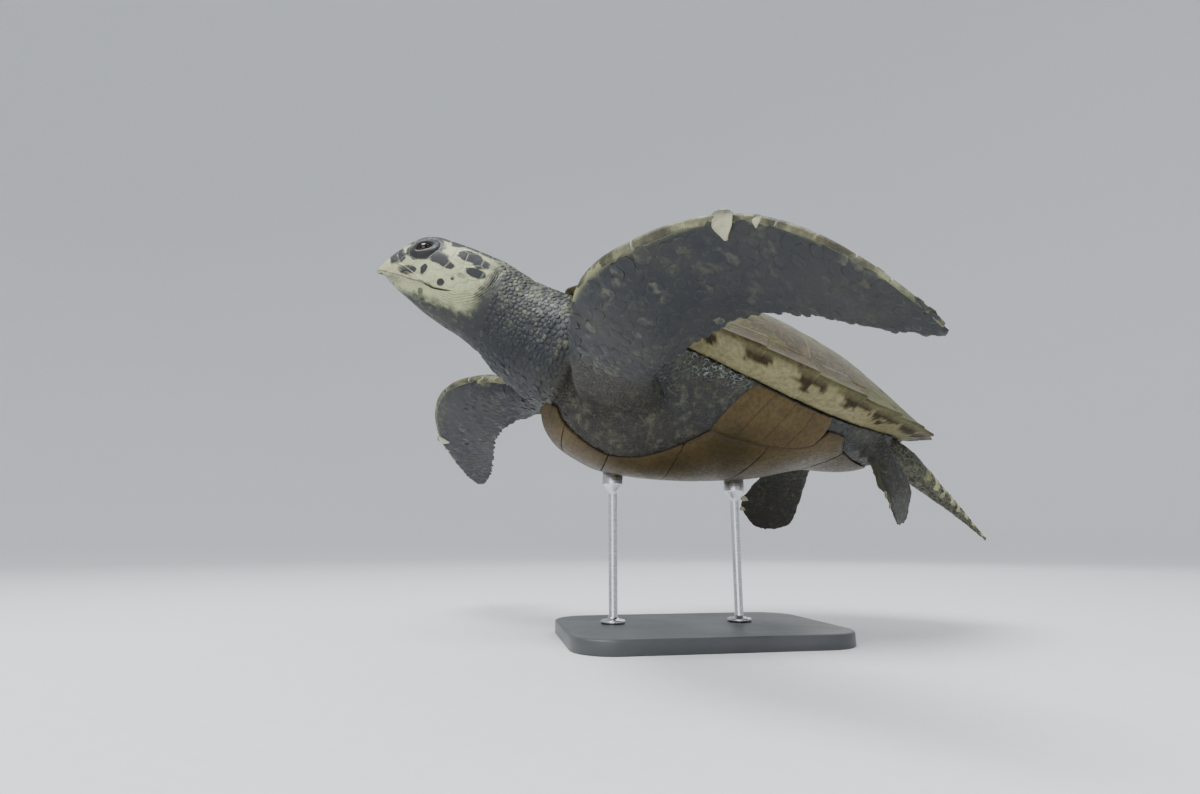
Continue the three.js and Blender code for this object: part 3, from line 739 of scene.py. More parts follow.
# ---------------- materials
class Nodes:
    """A short way of writing a node tree."""

    def __init__(self, name):
        self.material = bpy.data.materials.new(name)
        self.material.use_nodes = True
        self.tree = self.material.node_tree
        self.shader = self.tree.nodes["Principled BSDF"]

    def add(self, kind, **settings):
        node = self.tree.nodes.new(kind)
        for name, value in settings.items():
            setattr(node, name, value)
        return node

    def link(self, source, target):
        self.tree.links.new(source, target)

    def attribute(self, name):
        return self.add("ShaderNodeAttribute", attribute_name=name).outputs["Fac"]

    def vector(self, name):
        return self.add("ShaderNodeAttribute", attribute_name=name).outputs["Vector"]

    def place(self, scale=(1, 1, 1)):
        mapping = self.add("ShaderNodeMapping")
        mapping.inputs["Scale"].default_value = scale
        self.link(self.add("ShaderNodeTexCoord").outputs["Object"], mapping.inputs["Vector"])
        return mapping.outputs["Vector"]

    def noise(self, vector, scale, detail=4.0, roughness=0.55, distortion=0.0):
        node = self.add("ShaderNodeTexNoise")
        self.link(vector, node.inputs["Vector"])
        for name, value in (("Scale", scale), ("Detail", detail), ("Roughness", roughness),
                            ("Distortion", distortion)):
            node.inputs[name].default_value = value
        return node.outputs["Fac"]

    def cells(self, vector, scale, feature="DISTANCE_TO_EDGE"):
        node = self.add("ShaderNodeTexVoronoi", feature=feature)
        self.link(vector, node.inputs["Vector"])
        node.inputs["Scale"].default_value = scale
        return node.outputs["Distance"]

    def math(self, operation, a, b=None, clamp=False):
        node = self.add("ShaderNodeMath", operation=operation, use_clamp=clamp)
        for socket, value in zip(node.inputs, (a, b)):
            if value is None:
                continue
            if isinstance(value, (int, float)):
                socket.default_value = value
            else:
                self.link(value, socket)
        return node.outputs["Value"]

    def stretch(self, value, low, high, to_low=0.0, to_high=1.0):
        node = self.add("ShaderNodeMapRange", interpolation_type="SMOOTHSTEP")
        self.link(value, node.inputs["Value"])
        for name, number in (("From Min", low), ("From Max", high), ("To Min", to_low),
                             ("To Max", to_high)):
            node.inputs[name].default_value = number
        return node.outputs["Result"]

    def mix(self, share, a, b, blend="MIX"):
        node = self.add("ShaderNodeMix", data_type="RGBA", blend_type=blend)
        for socket, value in ((node.inputs[0], share), (node.inputs[6], a), (node.inputs[7], b)):
            if isinstance(value, (int, float)):
                socket.default_value = value
            elif isinstance(value, tuple):
                socket.default_value = (*value, 1.0)
            else:
                self.link(value, socket)
        return node.outputs[2]

    def bump(self, *layers):
        """Bumps laid over each other, each a height, a strength and a depth in metres."""
        normal = None
        for height, strength, depth in layers:
            node = self.add("ShaderNodeBump")
            node.inputs["Strength"].default_value = strength
            node.inputs["Distance"].default_value = depth
            self.link(height, node.inputs["Height"])
            if normal is not None:
                self.link(normal, node.inputs["Normal"])
            normal = node.outputs["Normal"]
        self.link(normal, self.shader.inputs["Normal"])

    def cover(self, colour, roughness):
        self.link(colour, self.shader.inputs["Base Color"])
        self.link(roughness, self.shader.inputs["Roughness"])

    def set(self, values):
        for name, value in values.items():
            self.shader.inputs[name].default_value = value


def hide_material(colours):
    """Hide for skin and scales: slate and brown ground with lighter patches of painted highlight, cream
    face, pale margins to the scales and pale lines of painted highlight under the rim.
    """
    n = Nodes("hide")
    place = n.place()
    broad = n.noise(place, 9, 5, 0.6)
    fine = n.noise(place, 90, 4, 0.65)
    grain = n.noise(place, 420, 3, 0.6)
    warm = n.math("ADD", n.attribute("warm"), n.stretch(broad, 0.3, 0.7, -0.25, 0.25), clamp=True)
    ground = n.mix(warm, colours["slate"], colours["umber"])
    # Painted highlight: noise scatters lighter patches of the bloom colour over the ground, standing for
    # light caught on the hide.
    lit = n.mix(n.stretch(fine, 0.35, 0.7), ground, colours["bloom"])
    ground = n.mix(n.stretch(broad, 0.35, 0.75, 0.0, 0.55), ground, lit)
    face = n.mix(n.stretch(broad, 0.3, 0.7), colours["cream"], colours["moss"])
    dark = n.math("ADD", n.attribute("dark"), n.stretch(fine, 0.3, 0.7, -0.12, 0.12), clamp=True)
    colour = n.mix(n.stretch(dark, 0.08, 0.92), face, ground)
    margin = n.math("MULTIPLY", n.stretch(n.attribute("rim"), 0.45, 1.0), n.attribute("seam"))
    margin = n.math("MULTIPLY", margin, n.stretch(fine, 0.25, 0.6, 0.55, 1.0))
    colour = n.mix(margin, colour, colours["seam"])
    colour = n.mix(n.attribute("pale"), colour, colours["edge"])
    drift = n.add("ShaderNodeVectorMath", operation="ADD")
    n.link(n.place((0.55, 0.8, 1.2)), drift.inputs[0])
    n.link(n.stretch(n.noise(place, 45, 3, 0.6), 0.2, 0.8, 0.0, 0.012), drift.inputs[1])
    # Painted highlight: pale lines of glint on the hide under the rim.
    vein = n.stretch(n.cells(drift.outputs[0], 120), 0.02, 0.13, 0.85, 0.0)
    vein = n.math("MULTIPLY", n.math("MULTIPLY", vein, n.attribute("veins")), n.stretch(fine, 0.4, 0.62))
    colour = n.mix(vein, colour, colours["vein"])
    colour = n.mix(n.stretch(grain, 0.3, 0.7, 0.0, 0.22), colour, (0.02, 0.02, 0.018), "MULTIPLY")
    n.cover(colour, n.stretch(fine, 0.3, 0.7, 0.42, 0.62))
    leather = n.stretch(n.cells(place, 520), 0.0, 0.35)
    n.bump((n.noise(place, 150, 5, 0.6), 0.35, 0.0008), (leather, 0.22, 0.0003))
    n.set({"Specular IOR Level": 0.3, "Coat Weight": 0.03, "Coat Roughness": 0.35})
    return n.material


def horn_material(name, light, dark, gloss):
    """Beak and claw horn: streaked along its growth."""
    n = Nodes(name)
    place = n.place()
    streak = n.noise(n.place((1, 1, 3)), 70, 5, 0.6)
    fine = n.noise(place, 260, 4, 0.6)
    shade = n.math("ADD", n.attribute("dark"), n.stretch(streak, 0.3, 0.7, -0.15, 0.15), clamp=True)
    colour = n.mix(shade, light, dark)
    colour = n.mix(n.stretch(fine, 0.35, 0.65, 0.0, 0.25), colour, (0.03, 0.03, 0.02), "MULTIPLY")
    n.cover(colour, n.stretch(fine, 0.3, 0.7, gloss - 0.06, gloss + 0.12))
    n.bump((streak, 0.25, 0.0006), (fine, 0.15, 0.0002))
    n.set({"Coat Weight": 0.15, "Coat Roughness": 0.2})
    return n.material


def shell_material(colours):
    """Tortoiseshell plates: amber rays from each plate's growth point over dark brown."""
    n = Nodes("shell")
    place = n.place()
    rays = n.noise(n.vector("rays"), 3.4, 5, 0.62, 0.4)
    second = n.noise(n.vector("rays"), 8.5, 3, 0.55)
    cloud = n.noise(place, 7, 5, 0.6)
    fine = n.noise(place, 130, 4, 0.6)
    ray = n.math("ADD", n.stretch(rays, 0.38, 0.7, 0.0, 0.7),
                 n.stretch(second, 0.4, 0.75, -0.15, 0.3), clamp=True)
    colour = n.mix(ray, colours["tortoise"], colours["amber"])
    colour = n.mix(n.stretch(cloud, 0.36, 0.66, 0.1, 0.78), colour, colours["algae"])
    flecks = n.stretch(n.noise(place, 26, 4, 0.65), 0.56, 0.68, 0.0, 0.7)
    colour = n.mix(flecks, colour, colours["tortoise"])
    colour = n.mix(n.stretch(n.attribute("rim"), 0.72, 1.0, 0.0, 0.55), colour, colours["plate_edge"])
    # Partly painted shade: the marginals' own pale olive underside is painted darker, as if in shade.
    belly = n.mix(n.stretch(cloud, 0.3, 0.7), colours["underside"], colours["plate_edge"])
    belly = n.mix(n.attribute("blotch"), belly, colours["tortoise"])
    colour = n.mix(n.attribute("under"), colour, belly)
    colour = n.mix(n.stretch(fine, 0.35, 0.7, 0.0, 0.35), colour, (0.04, 0.035, 0.02), "MULTIPLY")
    n.cover(colour, n.stretch(cloud, 0.35, 0.7, 0.5, 0.7))
    n.bump((second, 0.25, 0.0012), (fine, 0.25, 0.0004))
    n.set({"Specular IOR Level": 0.1})
    return n.material


def plastron_material(colours):
    """The belly plates: worn olive-brown horn, darker along the seams and in faint smears."""
    n = Nodes("plastron")
    place = n.place()
    cloud = n.noise(place, 8, 5, 0.6)
    streak = n.noise(place, 34, 5, 0.65, 0.6)
    fine = n.noise(place, 160, 4, 0.6)
    # Partly painted shade: the belly colours are darker than the plates' own olive-brown, as for an
    # underside in shade.
    colour = n.mix(n.stretch(cloud, 0.3, 0.7), colours["belly"], colours["olive"])
    colour = n.mix(n.stretch(streak, 0.5, 0.75, 0.0, 0.45), colour, colours["umber"])
    colour = n.mix(n.stretch(n.attribute("rim"), 0.8, 1.0, 0.0, 0.5), colour, colours["umber"])
    colour = n.mix(n.stretch(fine, 0.35, 0.7, 0.0, 0.3), colour, (0.05, 0.045, 0.03), "MULTIPLY")
    n.cover(colour, n.stretch(fine, 0.3, 0.7, 0.38, 0.55))
    n.bump((streak, 0.2, 0.0008), (fine, 0.25, 0.0003))
    n.set({"Specular IOR Level": 0.16})
    return n.material


def eye_material():
    """A wet, very dark eye: black pupil in a deep brown iris."""
    n = Nodes("eye")
    gaze = n.attribute("gaze")
    iris = n.mix(n.stretch(n.noise(n.place(), 300, 4), 0.3, 0.7), (0.035, 0.02, 0.01),
                 (0.012, 0.008, 0.005))
    colour = n.mix(n.stretch(gaze, 0.36, 0.4), (0.002, 0.002, 0.002), iris)
    colour = n.mix(n.stretch(gaze, 0.62, 0.74), colour, (0.03, 0.026, 0.02))
    n.link(colour, n.shader.inputs["Base Color"])
    n.set({"Roughness": 0.09, "Specular IOR Level": 0.4})
    return n.material


def painted_material(name, colour):
    """Satin stove paint with a fine orange peel."""
    n = Nodes(name)
    place = n.place()
    fine = n.noise(place, 900, 3, 0.5)
    wear = n.noise(place, 6, 5, 0.6)
    n.cover(n.mix(n.stretch(wear, 0.3, 0.7), colour, tuple(1.35 * c for c in colour)),
            n.stretch(wear, 0.3, 0.7, 0.36, 0.48))
    n.bump((fine, 0.12, 0.0002))
    return n.material


def steel_material():
    """Brushed stainless steel, with the brushing round the rod."""
    n = Nodes("steel")
    brushed = n.noise(n.place((60, 60, 2200)), 1.0, 4, 0.6)
    n.cover(n.mix(n.stretch(brushed, 0.3, 0.7), (0.5, 0.51, 0.52), (0.68, 0.69, 0.7)),
            n.stretch(brushed, 0.3, 0.7, 0.22, 0.36))
    n.bump((brushed, 0.1, 0.0001))
    n.set({"Metallic": 1.0})
    return n.material


# ---------------- plates on a surface
def cell_reach(offsets, share, own, directions, gap, widest):
    """How far each cell reaches in each direction, halfway (by share) to its neighbours.

    offsets is (cells, neighbours, 2); share is each cell's part of the way to that neighbour.
    """
    distance = np.linalg.norm(offsets, axis=-1)
    valid = distance > 1e-6
    heading = offsets / np.where(valid, distance, 1)[..., None]
    facing = np.einsum("nmk,dk->nmd", heading, directions)
    limit = (distance * share)[..., None] / np.maximum(facing, 1e-6)
    limit = np.where((facing > 0.12) & valid[..., None], limit, np.inf).min(1)
    return np.maximum(np.minimum(limit, widest * own[:, None]) - gap, 0.2 * own[:, None])


def even_share(away, sizes):
    """Each cell's part of the way to its neighbours, so that three cells meet in one point."""
    distance = np.maximum((away ** 2).sum(-1), 1e-6)
    mine, theirs = sizes
    return 0.5 + (mine ** 2 - theirs ** 2) / (2 * distance)


def circle(count):
    """Directions evenly round a full turn."""
    angles = np.linspace(0, 2 * math.pi, count, endpoint=False)
    return np.stack([np.cos(angles), np.sin(angles)], 1)


def cap_faces(cells, around, rings):
    """Faces of closed plates, each with rings of points from its buried foot to its middle."""
    i = np.arange(around)
    j = (i + 1) % around
    each = around * rings + 1
    last = (rings - 1) * around
    patterns = [band(around, r * around, (r + 1) * around) for r in range(rings - 1)]
    patterns.append(np.stack([last + i, last + j, np.full(around, each - 1)], 1))
    patterns.append(i[::-1][None])
    faces = []
    for pattern in patterns:
        whole = pattern[None] + (np.arange(cells) * each)[:, None, None]
        faces += whole.reshape(-1, pattern.shape[1]).tolist()
    return faces


def plates_object(name, rings, middles, rims):
    """Closed plates as one mesh, from rings of points (buried foot first) and their middles."""
    cells, around = rings[0].shape[:2]
    stacked = np.concatenate([np.stack(rings, 1).reshape(cells, -1, 3), middles[:, None]], 1)
    piece = mesh_object(name, stacked.reshape(-1, 3), cap_faces(cells, around, len(rings)))
    rim = np.concatenate([np.repeat(np.array(rims, float), around), [0.0]])
    set_attribute(piece, "rim", np.tile(rim, cells))
    return piece, stacked


def in_plane(away, across, upward):
    """Offsets from each cell as lengths along its own two directions on the surface."""
    return np.stack([np.einsum("nmk,nk->nm", away, across), np.einsum("nmk,nk->nm", away, upward)], -1)


def spokes(compass, across, upward):
    """The directions of a compass laid on the surface at each cell."""
    return across[:, None] * compass[None, :, :1] + upward[:, None] * compass[None, :, 1:]


class SkinSurface:
    """The finished skin, to seat scales on: nearest points, normals and random places."""

    def __init__(self, piece):
        self.points = points_of(piece)
        piece.data.calc_loop_triangles()
        corners = np.empty(len(piece.data.loop_triangles) * 3, np.int32)
        piece.data.loop_triangles.foreach_get("vertices", corners)
        self.triangles = corners.reshape(-1, 3)
        self.tree = BVHTree.FromPolygons(self.points.tolist(), self.triangles.tolist())

    def seat(self, points):
        """The nearest places on the skin and the directions straight out of it."""
        shape = points.shape
        found = [self.tree.find_nearest(p)[:2] for p in points.reshape(-1, 3).tolist()]
        place = np.array([f[0] for f in found]).reshape(shape)
        out = np.array([f[1] for f in found]).reshape(shape)
        return place, out

    def scatter(self, region, size, spacing, seed):
        """Places at least a scale apart over a region, with the directions out of the skin."""
        rng = np.random.default_rng(seed)
        a, b, c = (self.points[self.triangles[:, k]] for k in range(3))
        normal = np.cross(b - a, c - a)
        area = np.linalg.norm(normal, axis=1) / 2
        middle = (a + b + c) / 3
        area = np.where(region(middle) & (area < 40), area, 0)
        count = int(area.sum() * 0.12)
        chosen = rng.choice(len(area), count, p=area / area.sum())
        u, v = rng.random((2, count))
        flip = u + v > 1
        u, v = np.where(flip, 1 - u, u), np.where(flip, 1 - v, v)
        points = a[chosen] + (b - a)[chosen] * u[:, None] + (c - a)[chosen] * v[:, None]
        normals = unit(normal[chosen])
        radius = size(points)
        tree = lookup(points)
        free = np.ones(count, bool)
        kept = []
        for i in range(count):
            if not free[i]:
                continue
            kept.append(i)
            for _, j, away in tree.find_range(points[i], spacing * radius[i] * 2.2):
                if away < spacing * (radius[i] + radius[j]) and normals[i] @ normals[j] > -0.2:
                    free[j] = False
        return points[kept], normals[kept], radius[kept]


def scale_piece(name, points, normals, radius, lie, height, unwrap, seam):
    """Joined scales: a low pad on each place, cut to its neighbours, highest along the lie."""
    across = unit(lie - normals * np.einsum("ij,ij->i", lie, normals)[:, None])
    upward = np.cross(normals, across)
    tree = lookup(points)
    near = np.array([[j for _, j, _ in tree.find_n(p, 15)] for p in points.tolist()])[:, 1:]
    away = points[near] - points[:, None]
    flat = in_plane(away, across, upward)
    same_face = np.einsum("nmk,nk->nm", normals[near], normals) > 0
    flat[~same_face] = 0
    share = radius[:, None] / (radius[:, None] + radius[near])
    compass = circle(8)
    reach = cell_reach(flat, share, radius, compass, 0.35, 1.45)
    ways = spokes(compass, across, upward)
    rear = 0.75 + 0.45 * compass[None, :, 0]
    tall = np.full(len(points), height, float)
    rings = [
        points[:, None] + ways * reach[..., None] - normals[:, None] * 0.9,
        points[:, None] + ways * (0.93 * reach)[..., None]
        + normals[:, None] * (0.45 * tall[:, None] * rear)[..., None],
        points[:, None] + ways * (0.66 * reach)[..., None]
        + normals[:, None] * (tall[:, None] * rear)[..., None],
    ]
    middles = points + normals * (1.08 * 0.78 * tall)[:, None]
    piece, stacked = plates_object(name, rings, middles, (1, 0.85, 0.35))
    paint_scales(piece, points, stacked.shape[1], seam)
    ring = np.concatenate([compass, 0.9 * compass, 0.6 * compass, [[0, 0]]]) * BAKE_PATCH
    set_uv(piece, "OFBake", (unwrap(points)[:, None] + ring[None]).reshape(-1, 2))
    return piece


def paint_scales(piece, roots, each, seam):
    """Gives each scale, of so many points, the markings of the skin at its root."""
    rng = np.random.default_rng(SEED)
    marks = dict(zip(MARKS, markings(roots)))
    marks["dark"] = np.clip(marks["dark"] + rng.normal(0, 0.06, len(roots)), 0, 1)
    for name, values in marks.items():
        set_attribute(piece, name, np.repeat(values, each))
    set_attribute(piece, "seam", seam)


def into_place(piece):
    """Turns a finished mesh from the animal's frame in millimetres into the part's in metres."""
    piece.data.transform(placing())
    piece.data.update()
    return piece


# ---------------- folds of the skin
def mouth_shape(points):
    """How far the skin moves in at the mouth: a sharp line with the lower jaw set back under it."""
    x, _, z = points.T
    under = mouth_line(x) - z
    line = np.exp(-((under - 0.4) / 1.5) ** 2) * smoothstep(x, 562, 584)
    lip = np.exp(-((under + 4.2) / 3.0) ** 2) * smoothstep(x, 566, 590)
    jaw = smoothstep(under, 0, 1.8) * (1 - smoothstep(under, 8, 26)) * smoothstep(x, 576, 605)
    return 3.4 * line - 0.8 * lip + 2.4 * jaw


def set_back(points):
    """Moves the lower jaw's end back under the hook of the upper one."""
    x, _, z = points.T
    moved = points.copy()
    moved[:, 0] -= 0.45 * np.maximum(0, x - 682) * smoothstep(mouth_line(x) - z, 0.5, 4)
    return moved


def cheek_wrinkles(points):
    """Fine arcs that sweep back and up from the corner of the mouth."""
    x, _, z = points.T
    away = np.hypot(x - JAW_CORNER[0], z - JAW_CORNER[1]) + 1.5 * waves(points, 30, 5)
    turn = np.degrees(np.arctan2(JAW_CORNER[1] - z, JAW_CORNER[0] - x))
    where = smoothstep(turn, -20, 5) * (1 - smoothstep(turn, 82, 108))
    reach = smoothstep(away, 52, 58) * (1 - smoothstep(away, 74, 86))
    return 0.75 * np.sin(away * 2 * math.pi / 4.4) * where * reach


def armpit_folds(points):
    """Folds along the shell's rim behind the flippers' roots, -1 in the creases to 1 on the crests."""
    x, _, z = points.T
    rows = np.sin((z - 0.26 * x) * 2 * math.pi / 6.6 + 2.4 * waves(points, 26, 6))
    left = bump_at(points, (115, 215, -24), (105, 60, 34))
    groin = bump_at(points, (-215, 120, -30), (60, 60, 50)) + bump_at(points, (-200, -130, -30), 60)
    right = bump_at(points, (130, -215, -24), (105, 60, 34))
    return rows * np.minimum(1, 1.6 * (left + right) + 0.5 * groin)


def neck_folds(points):
    """Slack rolls round the neck, deepest at its root."""
    x, _, z = points.T
    rolls = np.sin(x * 2 * math.pi / 30 + 0.02 * z + 1.8 * waves(points, 70, 8))
    return rolls * (0.5 + 0.9 * smoothstep(-x, -420, -340)) * smoothstep(x, 300, 330) \
        * (1 - smoothstep(x, 480, 520))


def sculpt(piece):
    """Moves the skin for its folds, mouth, eye sockets and the room under the plates."""
    points, normals = points_of(piece), read_vectors(piece.data.vertex_normals, "vector")
    x, y, z = points.T
    move = neck_folds(points) + 1.4 * armpit_folds(points) + 0.8 * waves(points, 55, 4)
    move = np.where(x > 500, 0.25 * move, move)
    move += (cheek_wrinkles(points) - mouth_shape(points)) * smoothstep(x, 470, 500)
    under_plate = smoothstep(depth_inside(x, y, plastron_outline()), -3, 7)
    below = (z < lip_height(turn_and_share(x, y)[0]) - 6) & (x < 352) & (x > -300)
    move -= PLATE_ROOM * under_plate * below
    for side in (1, -1):
        move -= 1.8 * bump_at(points, (NOSTRIL[0], side * NOSTRIL[1], NOSTRIL[2]), 2.6)
    points = set_back(points + normals * move[:, None])
    for side in (1, -1):
        centre, long_way, short_way, out = eye_frame(side)
        offset = points - centre
        radius = np.hypot(offset @ long_way / EYELID["long"], offset @ short_way / EYELID["high"])
        near = (offset @ out > -4) & (radius < 1)
        depth = (1 - smoothstep(radius, 0.72, 0.98)) * np.maximum(offset @ out - 1, 0)
        points = points - np.where(near, depth, 0)[:, None] * out
    set_points(piece, points)


# ---------------- eyes and lids
EYELID = {"long": 31, "high": 21, "open_long": 13.6, "open_high": 7.4, "tilt": 40}


def eye_frame(side):
    """Middle of an eye, its long way (rear end up), its short way (up and back) and straight out."""
    tilt = math.radians(EYELID["tilt"])
    long_way = np.array([-math.cos(tilt), 0, math.sin(tilt)])
    out = np.array([0.14, side, 0.2])
    out = unit(out - long_way * (out @ long_way))
    short_way = unit(np.array([math.sin(tilt), 0, math.cos(tilt)]))
    short_way = unit(short_way - out * (short_way @ out))
    return np.array([EYE["x"], side * EYE["y"], EYE["z"]], float), long_way, short_way, out


def eyelid(side, surface):
    """Both lids as one ring: from the buried outer fold over a soft roll to the eye's margin."""
    centre, long_way, short_way, out = eye_frame(side)
    around, across = 96, 22
    angle = np.linspace(0, 2 * math.pi, around, endpoint=False)
    margin = np.hypot(EYELID["open_long"] * np.cos(angle), EYELID["open_high"] * np.sin(angle))
    clear = EYE["radius"] + 0.9
    margin_level = np.sqrt(clear ** 2 - margin ** 2)
    rings = []
    for k in range(across + 3):
        t = min(1, k / across)
        back = max(0, k - across)
        grow = lerp(1, 0, t) ** 0.9
        long_r = lerp(EYELID["open_long"], EYELID["long"], grow) - 0.5 * back
        high_r = lerp(EYELID["open_high"], EYELID["high"], grow) - 0.5 * back
        flat_x, flat_y = long_r * np.cos(angle), high_r * np.sin(angle)
        spot = centre + flat_x[:, None] * long_way + flat_y[:, None] * short_way
        ball = np.sqrt(np.maximum(clear ** 2 - flat_x ** 2 - flat_y ** 2, 0))
        skin = np.array([surface.tree.ray_cast(Vector(p + out * 45), Vector(-out))[0] or p
                         for p in spot])
        level = (skin - centre) @ out
        if k == 0:
            outer_level = level
        roll = 2.6 * math.sin(math.pi * t) ** 0.8
        wrinkle = 0.45 * math.sin(t * 2 * math.pi * 5.5) * smoothstep(np.sin(angle + 0.5), -0.2, 0.7)
        wrinkle = wrinkle * math.sin(math.pi * t) * (1 if t < 0.85 else 0)
        high = lerp(outer_level - 1.6, margin_level + 0.5, smoothstep(t, 0, 1)) + roll + wrinkle
        high = np.maximum(high, ball + 0.5) - 1.6 * back
        rings.append(spot + out * high[:, None])
    rings = np.array(rings)
    inner = rings[::-4] - out * 4.0
    shell = np.concatenate([rings, inner[1:]])
    count = len(shell)
    points = shell.reshape(-1, 3)
    faces = []
    for r in range(count):
        faces += band(around, r * around, ((r + 1) % count) * around).tolist()
    return facing_out(points, faces)


def eyeball(side):
    """A ball with a slightly fuller front, and how far each point looks from straight out."""
    centre, long_way, short_way, out = eye_frame(side)
    rings = []
    for polar in np.linspace(0.06, math.pi - 0.06, 34):
        angle = np.linspace(0, 2 * math.pi, 48, endpoint=False)
        flat = EYE["radius"] * math.sin(polar)
        cornea = 0.9 * math.exp(-(polar / 0.5) ** 2)
        rings.append(centre + out * (EYE["radius"] * math.cos(polar) + cornea)
                     + flat * (np.cos(angle)[:, None] * long_way + np.sin(angle)[:, None] * short_way))
    points, faces = closed_loft(rings)
    gaze = np.linalg.norm(unit(points - centre) - out, axis=1)
    return points, faces, gaze


# ---------------- plates of the head
HEAD_MIDDLE = ((641, 12), (615, 17), (588, 12), (562, 13), (537, 12), (516, 10))
HEAD_PAIRS = (
    # x, angle from the side up to the crown, size
    (676, 52, 9), (658, 60, 10), (671, 22, 9), (666, -3, 8),
    (622, 56, 13), (594, 58, 15), (566, 58, 14), (540, 60, 12), (516, 62, 10),
    (600, 33, 11), (576, 33, 10), (552, 36, 15), (526, 38, 11), (606, 12, 15), (580, 8, 11),
    (540, 17, 14), (517, 18, 10), (560, 3, 9), (627, -6, 8), (645, -16, 8), (656, -2, 7),
    (610, -11, 8), (590, -8, 8), (571, -5, 7), (550, -6, 7), (532, 0, 8),
)


def head_scutes(surface):
    """The large plates of the crown and cheeks, each a low pad seated on the skin."""
    roots = [(x, math.pi / 2, size) for x, size in HEAD_MIDDLE]
    for x, angle, size in HEAD_PAIRS:
        tilt = math.radians(angle)
        roots += [(x, tilt, size), (x, math.pi - tilt, size)]
    places = np.array([head_surface(x, a, COAT_DEPTH) for x, a, _ in roots])
    sizes = np.array([r[2] for r in roots], float)
    eyes = np.array([eye_frame(side)[0] + 12 * eye_frame(side)[3] for side in (1, -1)])
    seats, out = surface.seat(places)
    others = np.concatenate([seats, eyes])
    other_sizes = np.concatenate([sizes, [17, 17]])
    rear = np.array([-1.0, 0, 0])
    across = unit(rear - out * (out @ rear)[:, None])
    upward = np.cross(out, across)
    away = others[None] - seats[:, None]
    flat = in_plane(away, across, upward)
    length = np.linalg.norm(away, axis=-1, keepdims=True)
    flat = unit(flat) * length
    flat[np.arange(len(seats)), np.arange(len(seats))] = 0
    compass = circle(40)
    share = even_share(flat, (sizes[:, None], other_sizes[None]))
    by_eye = length[:, -2:, 0].min(1) < 42
    widest = np.where(by_eye | (seats[:, 2] < -36), 1.45, 1.85)[:, None]
    reach = cell_reach(flat, share, sizes, compass, 0.4, widest)
    ways = spokes(compass, across, upward)
    profile = ((1.0, -0.8), (1.0, 0.05), (0.965, 0.42), (0.9, 0.55), (0.76, 0.6), (0.6, 0.62),
               (0.44, 0.62), (0.28, 0.62), (0.12, 0.62))
    rings = []
    for inward, high in profile:
        spot, normal = surface.seat(seats[:, None] + ways * (reach * inward)[..., None])
        rings.append(spot + normal * high)
    piece, stacked = plates_object("head_scutes", rings, seats + out * 0.62,
                                   (1, 1, 0.9, 0.5, 0.2, 0, 0, 0, 0))
    paint(piece, stacked.reshape(-1, 3))
    set_attribute(piece, "seam", 0.75)
    inward = np.array([p[0] for p in profile])
    ring = np.concatenate([(inward[:, None, None] * compass).reshape(-1, 2), [[0, 0]]])
    unwrap = np.stack([(seats[:, 0] - 500) / 190, 0.5 + np.array([
        math.copysign(math.acos(min(1, max(-1, (p[2] + 30) / 85))), p[1]) for p in seats]) / 6.4], 1)
    patch = sizes[:, None, None] / 900
    set_uv(piece, "OFBake", (unwrap[:, None] + ring[None] * patch).reshape(-1, 2))
    return piece


# ---------------- plates of the shell
VERTEBRALS = ((0.665, 0), (0.315, 0), (-0.06, 0), (-0.42, 0), (-0.745, 0))
COSTALS = ((0.475, 0.5), (0.13, 0.56), (-0.245, 0.545), (-0.575, 0.42))
PLATE_RING = 0.85  # share of the rim where the marginals begin
PLATE_DROP = 3.5  # how far the plates' undersides lie below the outline of the shell


def reach_within(centre, compass, reach, inside):
    """Shortens each reach to where a surface's edge lies, found by halving."""
    low, high = np.zeros_like(reach), reach.copy()
    for _ in range(16):
        middle = (low + high) / 2
        spot = centre[:, None] + compass[None] * middle[..., None]
        good = inside(spot[..., 0], spot[..., 1])
        low, high = np.where(good, middle, low), np.where(good, high, middle)
    whole = centre[:, None] + compass[None] * reach[..., None]
    return np.where(inside(whole[..., 0], whole[..., 1]), reach, low)


def plan_plates(name, centres, sizes, reach, compass, profile, lift, seat):
    """Plates laid out in plan: rings at shares of their reach, seated at a height on a surface.

    profile has, for each ring, the share, the height and the value of rim. A height is a number, or
    None for the plate's own lift, or (number,) for that lift and a number more.
    """
    rings, rays = [], []
    for inward, high, _ in profile:
        spot = centres[:, None] + compass[None] * (reach * inward)[..., None]
        away = spot - centres[:, None]
        height = high
        if high is None or isinstance(high, tuple):
            height = lift(centres[:, None], away) + (high[0] if high else 0)
        rings.append(seat(spot[..., 0], spot[..., 1], height))
        grown = spot - (centres + np.array([-0.35, 0.2]) * sizes[:, None]
                        * np.stack([np.ones(len(centres)), np.sign(centres[:, 1])], 1))[:, None]
        length = np.linalg.norm(grown, axis=-1, keepdims=True)
        heading = grown / np.maximum(length, 1e-6)
        rays.append(np.concatenate([heading * 1.5, length / 75], -1)
                    + np.arange(len(centres))[:, None, None] * 3.7)
    middle = seat(centres[:, 0], centres[:, 1], lift(centres, np.zeros_like(centres))[0])
    ray = np.stack(rays, 1).reshape(len(centres), -1, 3)
    ray = np.concatenate([ray, ray[:, -len(compass):].mean(1, keepdims=True)], 1)
    piece, _ = plates_object(name, rings, middle, [rim_value for _, _, rim_value in profile])
    set_vector(piece, "rays", ray.reshape(-1, 3))
    return piece


